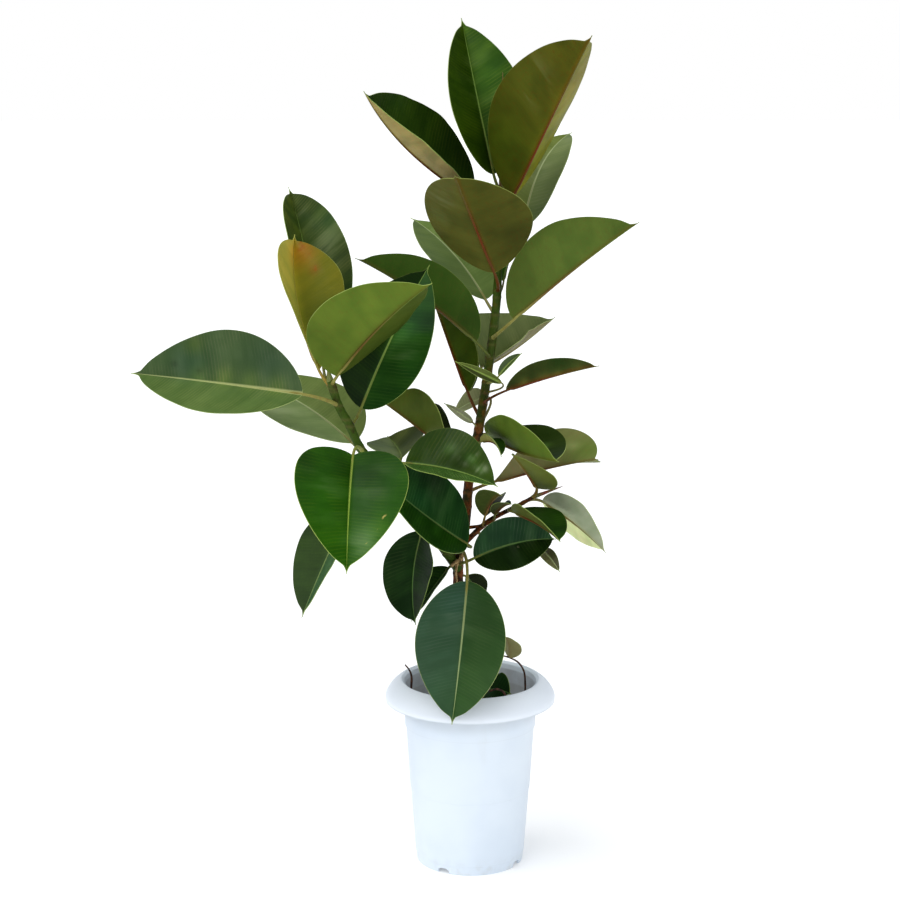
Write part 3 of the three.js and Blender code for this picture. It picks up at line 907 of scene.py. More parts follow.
@dataclass(frozen=True)
class Blade:
    """One leaf blade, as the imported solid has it.

    The blade runs from base to tip. width is its full width laid flat, roll turns it about its own
    length, fold lifts each half from flat, bow arches the midrib towards the upper side, sway bends it
    sideways, twist turns it from base to tip, and swell shifts its widest place. Angles are in degrees.
    """

    base: Point
    tip: Point
    width: float
    roll: float = 0.0
    fold: float = 0.0
    bow: float = 0.0
    sway: float = 0.0
    twist: float = 0.0
    swell: float = 0.85

    def length(self) -> float:
        """Returns the straight distance from base to tip."""
        return math.dist(self.base, self.tip)

    def axes(self) -> tuple[np.ndarray, np.ndarray, np.ndarray]:
        """Finds the blade's directions as a whole.

        Returns:
            The directions along the blade, to its side and up from it.
        """
        along = (np.array(self.tip) - np.array(self.base)) / self.length()
        level = np.cross((0, 0, 1), along)
        level /= np.linalg.norm(level)
        turn = math.radians(self.roll)
        side = level * math.cos(turn) + np.cross(along, level) * math.sin(turn)
        return along, side, np.cross(along, side)

    def midrib(self, share: np.ndarray) -> np.ndarray:
        """Finds points of the midrib.

        Args:
            share: Shares of the blade's length.

        Returns:
            One row of x, y, z for each share.
        """
        along, side, rise = self.axes()
        share = share[:, None]
        arch = 4 * share * (1 - share)
        straight = np.array(self.base) + along * self.length() * share
        return straight + rise * self.bow * arch + side * self.sway * arch

    def local_axes(self, share: np.ndarray) -> tuple[np.ndarray, np.ndarray, np.ndarray]:
        """Finds the blade's own directions at shares of its length.

        Args:
            share: Shares of the blade's length.

        Returns:
            The directions along, to the side and up, one row for each share.
        """
        along, side, rise = self.axes()
        slope = (4 * (1 - 2 * share))[:, None]
        forward = along * self.length() + rise * self.bow * slope + side * self.sway * slope
        forward /= np.linalg.norm(forward, axis=1)[:, None]
        turn = np.radians(self.twist * (share - 0.5))[:, None]
        across = side * np.cos(turn) + rise * np.sin(turn)
        across -= forward * np.sum(across * forward, axis=1)[:, None]
        across /= np.linalg.norm(across, axis=1)[:, None]
        return forward, across, np.cross(forward, across)

    def reach(self, share: np.ndarray) -> np.ndarray:
        """Finds the half width: a broad oval with a drip tip.

        Args:
            share: Shares of the blade's length.

        Returns:
            The half width at each share.
        """
        along = np.minimum(share / (1 - DRIP_TIP), 1)
        oval = np.sin(np.pi * along**self.swell).clip(0) ** 0.7
        ahead = (1 - share).clip(0) / DRIP_FOOT
        flare = DRIP_FLARE * ahead**1.7 * ((share - 0.8) / DRIP_FOOT).clip(0, 1)
        return (oval**4 + flare**4) ** 0.25 * self.width / 2

    def surface(self, share: np.ndarray, across: np.ndarray) -> tuple[np.ndarray, np.ndarray]:
        """Finds points of the blade's middle surface.

        Args:
            share: Shares of the blade's length.
            across: Shares of the half width, from -1 to 1.

        Returns:
            The points, and the blade's up direction at each.
        """
        _, side, rise = self.local_axes(share)
        reach = np.maximum(self.reach(share), np.where(share < 0.5, *LEAST_REACH)) * np.abs(across)
        lift = np.radians(self.fold + BLADE_CUP * np.abs(across) / 2)
        places = self.midrib(share) + side * (np.sign(across) * reach * np.cos(lift))[:, None]
        return places + rise * (reach * np.sin(lift))[:, None], rise


@dataclass(frozen=True)
class Spot:
    """A soft place on a blade: where it is, how far it reaches and how strong it is.

    For a patch of colour, the strength is what multiplies the colour there.
    """

    along: float
    across: float
    reach: float
    strength: Point | float


class Shown(Enum):
    """Which sides a blade's own colours, painted light and shade are for; the other side keeps calmer ones.
    """

    UPPER = auto()
    UNDER = auto()
    BOTH = auto()


@dataclass(frozen=True)
class Leaf:
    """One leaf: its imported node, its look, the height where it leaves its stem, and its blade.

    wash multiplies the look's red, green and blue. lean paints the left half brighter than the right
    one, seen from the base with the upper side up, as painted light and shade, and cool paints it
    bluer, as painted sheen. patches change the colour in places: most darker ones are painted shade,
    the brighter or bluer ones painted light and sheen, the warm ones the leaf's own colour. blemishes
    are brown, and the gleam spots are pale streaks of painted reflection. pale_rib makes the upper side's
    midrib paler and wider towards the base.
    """

    node: str
    look: Look
    height: float
    blade: Blade
    stem: StemName | None = StemName.TRUNK
    shown: Shown = Shown.UPPER
    wash: Point = (1.0, 1.0, 1.0)
    lean: float = 0.0
    cool: float = 0.0
    patches: tuple[Spot, ...] = ()
    blemishes: tuple[Spot, ...] = ()
    painted_gleams: tuple[Spot, ...] = ()
    pale_rib: float = 0.0


# In these rows lean and cool paint light, shade and sheen between the halves. Most darker patches are
# painted shade and the brighter or bluer ones painted light and sheen; warm ones are the leaf's own colour.
# The gleam spots are painted reflections.
LEAVES = (
    Leaf("crown_leaf_1", Look.DARK, 0.945, Blade((0.03, -0.005, 0.973), (-0.013, 0.06, 1.18), 0.128,
        roll=-15, fold=30, bow=0.008, sway=0.004), painted_gleams=(Spot(0.57, -0.35, 0.03, 0.08),),
        wash=(2.7, 1.7, 0.75), lean=-0.35, cool=-0.45, patches=(Spot(0.12, 0, 0.035, 0.5),
        Spot(0.57, -0.4, 0.025, (1.2, 1.3, 1.56)))),
    Leaf("crown_leaf_2", Look.BRONZE, 0.938, Blade((0.056, -0.03, 0.944), (0.151, -0.145, 1.156), 0.175,
        roll=-20, fold=45, bow=0.014, sway=0.007), shown=Shown.UNDER,
        painted_gleams=(Spot(0.57, -0.65, 0.025, 0.15),), wash=(1.4, 1.25, 0.7), lean=0.4, cool=-0.1,
        patches=(Spot(0.64, 0.5, 0.04, (1.2, 1.0, 1.05)), Spot(0.57, -0.65, 0.03, (1.2, 1.3, 1.56)),
        Spot(0.2, -0.7, 0.05, (0.75, 1.05, 0.75)))),
    Leaf("crown_leaf_3", Look.DARK, 0.925, Blade((0.002, -0.01, 0.943), (-0.14, -0.085, 1.085), 0.15,
        roll=-35, fold=30, bow=-0.02, sway=-0.015), shown=Shown.BOTH, wash=(2.75, 1.8, 2.25), lean=0.5,
        cool=0.5, patches=(Spot(0.14, -0.85, 0.04, 0.6), Spot(0.72, -0.65, 0.03, 1.5))),
    Leaf("crown_leaf_4", Look.GREY, 0.885, Blade((0.073, 0.045, 0.9), (0.142, 0.12, 1.024), 0.092, bow=0.03,
        sway=-0.008), painted_gleams=(Spot(0.5, 0.5, 0.02, 0.15),), wash=(1.55, 1.2, 1.2), lean=-0.1, cool=-0.3),
    Leaf("crown_leaf_5", Look.BRONZE, 0.815, Blade((0.031, -0.04, 0.844), (-0.022, -0.145, 0.98), 0.155,
        roll=5, fold=10, bow=0.015, sway=-0.009), shown=Shown.UNDER, painted_gleams=(Spot(0.6, -0.6, 0.02, 0.12),
        Spot(0.75, -0.5, 0.012, 0.12)), wash=(1.05, 0.95, 1.2), lean=-0.15, cool=-0.1,
        patches=(Spot(0.25, 0.65, 0.04, 0.7), Spot(0.46, -0.7, 0.012, (1.19, 1.35, 1.76)))),
    Leaf("crown_leaf_6", Look.DARK, 0.806, Blade((0.045, 0.014, 0.826), (0.068, 0.026, 0.884), 0.03,
        fold=20, bow=0.005), wash=(3.6, 2.8, 0.6)),
    Leaf("trunk_leaf_1", Look.GREY, 0.782, Blade((0.02, 0.017, 0.801), (-0.084, 0.108, 0.906), 0.117,
        roll=-3, bow=0.011, sway=-0.002), wash=(1.4, 1.25, 1.15), lean=-0.15),
    Leaf("trunk_leaf_2", Look.FRESH, 0.75, Blade((0.057, -0.04, 0.78), (0.222, -0.065, 0.914), 0.14,
        roll=-45, fold=45, bow=0.015, sway=0.01), shown=Shown.UNDER, wash=(0.85, 0.75, 1.1),
        patches=(Spot(0.12, -0.65, 0.04, 0.8), Spot(0.55, -0.3, 0.05, 1.15))),
    Leaf("trunk_leaf_3", Look.GREEN, 0.722, Blade((0.007, -0.02, 0.747), (-0.158, 0.01, 0.859), 0.102,
        roll=45, fold=45, bow=0.005, sway=0.008), shown=Shown.UNDER, wash=(0.9, 1.0, 0.9),
        patches=(Spot(0.12, 0.5, 0.03, 0.7),)),
    Leaf("trunk_leaf_4", Look.GREY, 0.702, Blade((0.014, 0.015, 0.707), (0.12, 0.102, 0.766), 0.137,
        roll=15, fold=45, bow=-0.015, sway=0.009, twist=-12, swell=0.58), shown=Shown.BOTH,
        painted_gleams=(Spot(0.4, -0.4, 0.02, 0.2),), wash=(1.55, 1.15, 1.0), lean=0.55, cool=0.45),
    Leaf("trunk_leaf_5", Look.FRESH, 0.688, Blade((0.038, -0.024, 0.701), (0.07, -0.01, 0.731), 0.018,
        roll=20, fold=15, bow=0.003), wash=(1.3, 0.9, 2.6)),
    Leaf("trunk_leaf_6", Look.FRESH, 0.674, Blade((0.042, -0.028, 0.692), (-0.022, -0.042, 0.724), 0.014,
        roll=-85, fold=15, bow=0.008), wash=(1.6, 0.9, 1.6), lean=-0.45),
    Leaf("trunk_leaf_7", Look.BRONZE, 0.638, Blade((-0.004, 0.017, 0.672), (-0.056, 0.067, 0.807), 0.085,
        roll=45, fold=45), shown=Shown.UNDER, wash=(0.45, 0.7, 0.25)),
    Leaf("trunk_leaf_8", Look.BRONZE, 0.658, Blade((0.048, -0.025, 0.681), (0.174, -0.04, 0.718), 0.05,
        roll=-45, fold=45, bow=0.008, sway=0.006), shown=Shown.UNDER, wash=(0.4, 0.5, 0.8),
        patches=(Spot(0.2, 0.0, 0.008, (2.8, 2.2, 2.2)), Spot(0.4, 0.1, 0.009, (3.4, 2.5, 2.6)),
        Spot(0.55, 0.1, 0.008, (3.4, 2.5, 2.6)), Spot(0.75, 0.1, 0.012, (2.4, 2.0, 2.0)),
        Spot(0.6, -0.95, 0.02, (0.5, 0.8, 0.6)))),
    Leaf("trunk_leaf_9", Look.GREY, 0.622, Blade((0.003, -0.01, 0.634), (-0.037, -0.025, 0.664), 0.012,
        roll=-90, fold=15, bow=0.008), wash=(3.2, 1.9, 5.0)),
    Leaf("trunk_leaf_10", Look.FRESH, 0.612, Blade((0.023, 0.003, 0.615), (0.116, -0.122, 0.602), 0.133,
        roll=-17, fold=32, bow=-0.006, sway=-0.001, twist=-28, swell=1.14), shown=Shown.BOTH,
        wash=(0.7, 0.65, 0.6), lean=-0.55, cool=-0.15,
        patches=(Spot(0.33, -0.05, 0.028, (0.08, 0.12, 0.06)), Spot(0.6, 0.5, 0.007, (2.2, 2.5, 3.25)))),
    Leaf("trunk_leaf_11", Look.GREY, 0.628, Blade((0.022, 0.03, 0.663), (-0.023, 0.062, 0.636), 0.042,
        roll=-45, fold=12, bow=0.003), wash=(2.7, 1.7, 3.0)),
    Leaf("trunk_leaf_12", Look.OLIVE, 0.534, Blade((0.03, 0.013, 0.545), (0.175, -0.034, 0.587), 0.135,
        roll=-60, fold=65, bow=0.016, sway=0.008, twist=-73, swell=1.7), shown=Shown.UNDER,
        wash=(1.75, 1.65, 2.8), patches=(Spot(0.25, -0.2, 0.03, (1.6, 1.35, 1.9)),
        Spot(0.85, -0.6, 0.035, (0.6, 0.8, 0.45)), Spot(0.7, -0.5, 0.008, (1.5, 1.5, 1.9)))),
    Leaf("trunk_leaf_13", Look.DARK, 0.6, Blade((0.014, -0.046, 0.614), (0.041, -0.082, 0.6), 0.03,
        roll=-20, fold=20, bow=0.01), shown=Shown.BOTH, wash=(2.4, 1.95, 2.5), lean=-0.4, cool=-0.2),
    Leaf("low_leaf_1", Look.OLIVE, 0.574, Blade((-0.018, -0.034, 0.587), (-0.119, -0.021, 0.664), 0.123,
        roll=9, fold=34, bow=0.003, sway=0.01, twist=61, swell=1.54), shown=Shown.BOTH,
        wash=(0.45, 0.55, 0.25), lean=0.6, cool=0.5),
    Leaf("low_leaf_2", Look.NIGHT, 0.432, Blade((0.005, -0.038, 0.449), (0.119, -0.02, 0.472), 0.076,
        roll=65, fold=10, bow=0.02, sway=0.004), painted_gleams=(Spot(0.55, 0.3, 0.02, 0.06),),
        wash=(2.5, 1.75, 2.9), lean=0.5, cool=0.5, blemishes=(Spot(0.51, -0.16, 0.0035, 0.6),)),
    Leaf("low_leaf_3", Look.NIGHT, 0.462, Blade((-0.005, -0.046, 0.471), (-0.138, -0.11, 0.595), 0.122,
        roll=-55, fold=18, bow=-0.003, sway=0.004), painted_gleams=(Spot(0.4, -0.4, 0.03, 0.04),),
        wash=(2.1, 2.3, 1.7), lean=0.05, cool=-0.5, patches=(Spot(0.5, -0.2, 0.02, (1.23, 1.4, 1.82)),
        Spot(0.5, -0.9, 0.03, 0.5))),
    Leaf("low_leaf_4", Look.NIGHT, 0.428, Blade((-0.067, -0.03, 0.485), (-0.076, -0.075, 0.364), 0.118,
        roll=42, fold=5, bow=0.004, sway=-0.008), wash=(1.9, 1.25, 1.2), lean=-0.2, cool=-0.5,
        patches=(Spot(0.45, 0.6, 0.05, (0.5, 0.85, 0.5)),)),
    Leaf("low_leaf_5", Look.NIGHT, 0.418, Blade((-0.03, -0.014, 0.43), (-0.083, -0.02, 0.354), 0.08,
        roll=-10, fold=12, bow=0.004, sway=0.005), wash=(1.4, 1.5, 0.2)),
    Leaf("low_leaf_6", Look.SHEEN, 0.452, Blade((-0.005, -0.08, 0.427), (-0.026, -0.125, 0.238), 0.135,
        roll=-20, fold=20, bow=0.012, sway=0.002), painted_gleams=(Spot(0.2, -0.4, 0.03, 0.1),),
        wash=(0.8, 0.75, 1.05), lean=-0.05, cool=-0.4, patches=(Spot(0.85, 0, 0.05, (0.7, 0.9, 0.55)),
        Spot(0.26, 0.5, 0.03, 0.85), Spot(0.12, -0.3, 0.03, (1.01, 1.1, 1.32)))),
    Leaf("low_leaf_7", Look.NIGHT, 0.405, Blade((-0.006, 0.014, 0.41), (0.018, 0.04, 0.368), 0.04, roll=95,
        fold=15, bow=0.003), wash=(2.0, 0.75, 1.3)),
    Leaf("shoot_leaf_1", Look.OLIVE, 0.53, Blade((0.091, -0.024, 0.545), (0.055, -0.07, 0.602), 0.088,
        roll=-17, fold=12, sway=0.005), StemName.SHOOT, shown=Shown.UNDER, wash=(0.95, 1.05, 0.95)),
    Leaf("shoot_leaf_2", Look.GREY, 0.522, Blade((0.1, 0.0, 0.521), (0.186, -0.045, 0.459), 0.1, roll=-50,
        bow=0.003, sway=-0.004), StemName.SHOOT, shown=Shown.UNDER, wash=(3.0, 2.8, 4.3), lean=0.4,
        cool=-0.15, patches=(Spot(0.7, 0.75, 0.03, (0.8, 0.75, 0.75)),)),
    Leaf("shoot_leaf_3", Look.DARK, 0.512, Blade((0.058, -0.035, 0.514), (0.121, -0.095, 0.486), 0.095,
        roll=-15, fold=18, bow=0.004, sway=0.003), StemName.SHOOT, shown=Shown.BOTH,
        wash=(1.15, 1.15, 0.95), cool=-0.4),
    Leaf("shoot_leaf_4", Look.GREY, 0.478, Blade((0.1, -0.005, 0.451), (0.124, -0.03, 0.427), 0.021,
        roll=40, fold=16, bow=0.012), StemName.SHOOT, wash=(1.3, 0.75, 1.3), lean=-0.3),
    Leaf("shoot_leaf_5", Look.OLIVE, 0.49, Blade((0.02, -0.018, 0.504), (0.042, -0.055, 0.542), 0.048,
        roll=-15, fold=25, bow=0.008), StemName.TWIG, shown=Shown.UNDER, wash=(0.35, 0.45, 0.3), lean=-0.25,
        cool=-0.5),
    Leaf("shoot_leaf_6", Look.DARK, 0.498, Blade((0.034, -0.02, 0.506), (0.056, -0.042, 0.527), 0.03,
        fold=20, bow=0.004), StemName.TWIG, shown=Shown.UNDER, wash=(0.6, 0.6, 1.2)),
    Leaf("branch_leaf_1", Look.BRIGHT, 0.61, Blade((-0.155, -0.165, 0.619), (-0.159, -0.28, 0.489), 0.178,
        roll=-7, fold=30, bow=0.012, sway=-0.002), StemName.BRANCH, painted_gleams=(Spot(0.45, -0.45, 0.03, 0.05),
        Spot(0.35, 0.45, 0.025, 0.05), Spot(0.8, 0.5, 0.02, 0.15)), wash=(0.9, 0.87, 0.37), lean=-0.1,
        cool=0.35, patches=(Spot(0.5, -0.5, 0.025, 1.3), Spot(0.18, -0.15, 0.02, 0.7),
        Spot(0.3, -0.9, 0.02, 0.6), Spot(0.7, 0.72, 0.012, (1.8, 1.35, 1.3)),
        Spot(0.78, 0.5, 0.025, (1.38, 1.5, 1.8)), Spot(0.22, 0.45, 0.025, 0.7)),
        blemishes=(Spot(0.63, 0.72, 0.006, 0.7), Spot(0.71, 0.68, 0.005, 0.6), Spot(0.8, 0.6, 0.003, 0.6))),
    Leaf("branch_leaf_2", Look.DUSK, 0.585, Blade((-0.16, -0.092, 0.537), (-0.226, -0.155, 0.397), 0.1,
        roll=5, fold=18, sway=-0.003), StemName.BRANCH, wash=(0.9, 1.1, 1.15), lean=0.35, cool=0.45),
    Leaf("branch_leaf_3", Look.GLOSS, 0.598, Blade((-0.088, -0.11, 0.597), (0.036, -0.118, 0.567), 0.124,
        roll=25, fold=20, bow=0.006, sway=0.003), StemName.BRANCH, painted_gleams=(Spot(0.58, 0.3, 0.005, 0.5),
        Spot(0.62, 0.5, 0.005, 0.6), Spot(0.66, 0.7, 0.004, 0.4), Spot(0.75, 0.3, 0.005, 0.6),
        Spot(0.79, 0.5, 0.005, 0.5), Spot(0.42, 0.5, 0.01, 0.15)), wash=(2.8, 1.75, 2.5), lean=-0.35,
        cool=-0.45, patches=(Spot(0.64, 0.45, 0.007, (1.85, 2.2, 3.08)),
        Spot(0.42, 0.5, 0.009, (1.41, 1.6, 2.08)), Spot(0.76, 0.35, 0.006, (1.67, 1.9, 2.47)),
        Spot(0.55, 0.2, 0.02, 0.6))),
    Leaf("branch_leaf_4", Look.DUSK, 0.556, Blade((-0.095, -0.065, 0.594), (-0.116, 0.02, 0.61), 0.092,
        roll=-15, fold=22, bow=-0.004, sway=-0.005), StemName.BRANCH, wash=(3.2, 2.3, 2.6), lean=0.4,
        cool=0.35),
    Leaf("branch_leaf_5", Look.SHEEN, 0.677, Blade((-0.221, -0.145, 0.696), (-0.455, -0.08, 0.714), 0.143,
        roll=-50, fold=22, bow=0.002), StemName.BRANCH, pale_rib=0.6, wash=(1.95, 1.15, 1.3), lean=0.2,
        cool=-0.2, patches=(Spot(0.15, -0.12, 0.014, (1.8, 1.6, 1.1)),
        Spot(0.3, -0.12, 0.014, (1.8, 1.6, 1.1)), Spot(0.45, -0.12, 0.013, (1.8, 1.6, 1.1)),
        Spot(0.6, -0.12, 0.012, (1.6, 1.5, 1.1)), Spot(0.66, -0.45, 0.03, (0.76, 0.9, 1.26)),
        Spot(0.65, -0.8, 0.014, (1.39, 1.2, 0.72)), Spot(0.2, -0.6, 0.04, (0.7, 0.8, 1.04)),
        Spot(0.75, -0.4, 0.005, 0.6), Spot(0.6, -0.2, 0.005, 0.6))),
    Leaf("branch_leaf_6", Look.GREY, 0.618, Blade((-0.16, -0.085, 0.62), (-0.323, 0.06, 0.684), 0.155,
        roll=-7, bow=0.014, sway=-0.002), StemName.BRANCH, painted_gleams=(Spot(0.4, 0.6, 0.03, 0.2),),
        wash=(1.95, 1.6, 1.9), lean=0.15, cool=0.2),
    Leaf("branch_leaf_7", Look.FRESH, 0.705, Blade((-0.176, -0.14, 0.719), (-0.051, -0.215, 0.85), 0.17,
        roll=-18, fold=16, bow=0.004, sway=-0.007), StemName.BRANCH, shown=Shown.UNDER,
        wash=(0.85, 0.75, 0.8), lean=-0.3, patches=(Spot(0.2, -0.8, 0.03, 0.85),
        Spot(0.6, -0.5, 0.04, 1.15))),
    Leaf("branch_leaf_8", Look.DARK, 0.648, Blade((-0.147, -0.085, 0.667), (-0.056, -0.045, 0.855), 0.126,
        roll=50, fold=10, bow=0.014), StemName.BRANCH, painted_gleams=(Spot(0.38, -0.6, 0.02, 0.1),),
        wash=(0.85, 0.9, 0.6), lean=-0.55, cool=-0.5, patches=(Spot(0.6, -0.3, 0.03, (1.23, 1.4, 1.82)),
        Spot(0.38, -0.7, 0.02, (1.6, 1.5, 1.8)), Spot(0.66, -0.85, 0.025, (0.45, 0.6, 0.45)),
        Spot(0.45, 0.5, 0.03, (1.5, 1.2, 1.0)))),
    Leaf("branch_leaf_9", Look.AGEING, 0.7, Blade((-0.201, -0.122, 0.724), (-0.237, -0.027, 0.894), 0.14,
        roll=9, fold=45, bow=0.003, sway=0.015, twist=-21, swell=1.17), StemName.BRANCH,
        wash=(2.0, 1.5, 3.2), lean=0.55, cool=0.5, patches=(Spot(0.84, -0.45, 0.022, (1.7, 0.85, 0.6)),
        Spot(0.35, -0.6, 0.04, (0.65, 0.8, 0.7)), Spot(0.68, -0.5, 0.008, (1.3, 0.75, 0.6))),
        blemishes=(Spot(0.87, -0.4, 0.02, 0.55), Spot(0.78, -0.5, 0.016, 0.5),
        Spot(0.68, -0.52, 0.01, 0.55))),
    Leaf("branch_leaf_10", Look.DARK, 0.696, Blade((-0.199, -0.061, 0.719), (-0.255, 0.109, 0.949), 0.131,
        roll=7, fold=44, bow=0.014, twist=-19, swell=1.07), StemName.BRANCH,
        painted_gleams=(Spot(0.6, -0.6, 0.03, 0.12), Spot(0.8, -0.3, 0.02, 0.1)), wash=(4.8, 2.0, 3.3), lean=0.1,
        cool=-0.25, patches=(Spot(0.7, -0.9, 0.025, (1.14, 1.3, 1.69)), Spot(0.45, -0.9, 0.02, 0.7))),
)


END_CROWDING = 0.65  # how much of the spacing along a blade is drawn towards its ends
RIB_CROWDING = 1.35  # the power that draws the blank's columns towards the midrib
HALF_BLEND = 12.0  # how sharply the tint of one half passes into the other's at the midrib


@dataclass(frozen=True)
class Sheet:
    """The flat blank laid over one leaf: each vertex's share of the blade's length, and its share across."""

    leaf: Leaf
    share: np.ndarray
    across: np.ndarray

    @classmethod
    def lay(cls, leaf: Leaf, blank: Piece) -> "Sheet":
        """Lays a blank over a leaf, its vertices closer at the ends and the midrib.

        Args:
            leaf: The leaf.
            blank: The blank.

        Returns:
            The sheet.
        """
        places = vertices(blank)
        even = places[:, 1].clip(0, 1)
        share = (1 - END_CROWDING) * even + END_CROWDING * (1 - np.cos(np.pi * even)) / 2
        return cls(leaf, share, -np.sign(places[:, 0]) * np.abs(places[:, 0]) ** RIB_CROWDING)

    def flat(self) -> np.ndarray:
        """Returns each vertex's distance from the midrib, and the one along the flat blade."""
        blade = self.leaf.blade
        return np.column_stack([self.across * blade.reach(self.share), self.share * blade.length()])

    def edge_distance(self) -> np.ndarray:
        """Measures how far each vertex lies from the flat blade's outline.

        Returns:
            The distances.
        """
        blade, steps = self.leaf.blade, np.linspace(0, 1, 240)
        outline = np.column_stack([blade.reach(steps), steps * blade.length()])
        return np.linalg.norm(np.abs(self.flat())[:, None] - outline[None], axis=2).min(axis=1)

    def near(self, spot: Spot) -> np.ndarray:
        """Works out how near each vertex is to a spot.

        Args:
            spot: The spot.

        Returns:
            1 in the spot's middle, falling to 0 away from it.
        """
        blade = self.leaf.blade
        centre = spot.across * blade.reach(np.array([spot.along]))[0], spot.along * blade.length()
        return np.exp(-((np.linalg.norm(self.flat() - centre, axis=1) / spot.reach) ** 2))

    def marked(self, spots: tuple[Spot, ...]) -> np.ndarray:
        """Returns each vertex's share in the strongest of the spots, and 0 away from all."""
        return np.max([0 * self.share, *(self.near(spot) * spot.strength for spot in spots)], axis=0)

    def tint(self) -> np.ndarray:
        """Works out what multiplies red, green and blue, painted light, shade and sheen included.

        Returns:
            One row of three for each vertex.
        """
        # Painted light and shade: one half brighter than the other, and bluer as painted sheen.
        half = np.tanh(self.across * HALF_BLEND)
        bright = 1 + self.leaf.lean * half
        tint = np.column_stack([bright, bright, bright * (1 + self.leaf.cool * half)])
        tint = tint * np.array(self.leaf.wash)
        # Patches paint shade, light and sheen in places, as well as the leaf's own colour.
        for patch in self.leaf.patches:
            tint = tint * (1 + (np.array(patch.strength) - 1) * self.near(patch)[:, None])
        return tint


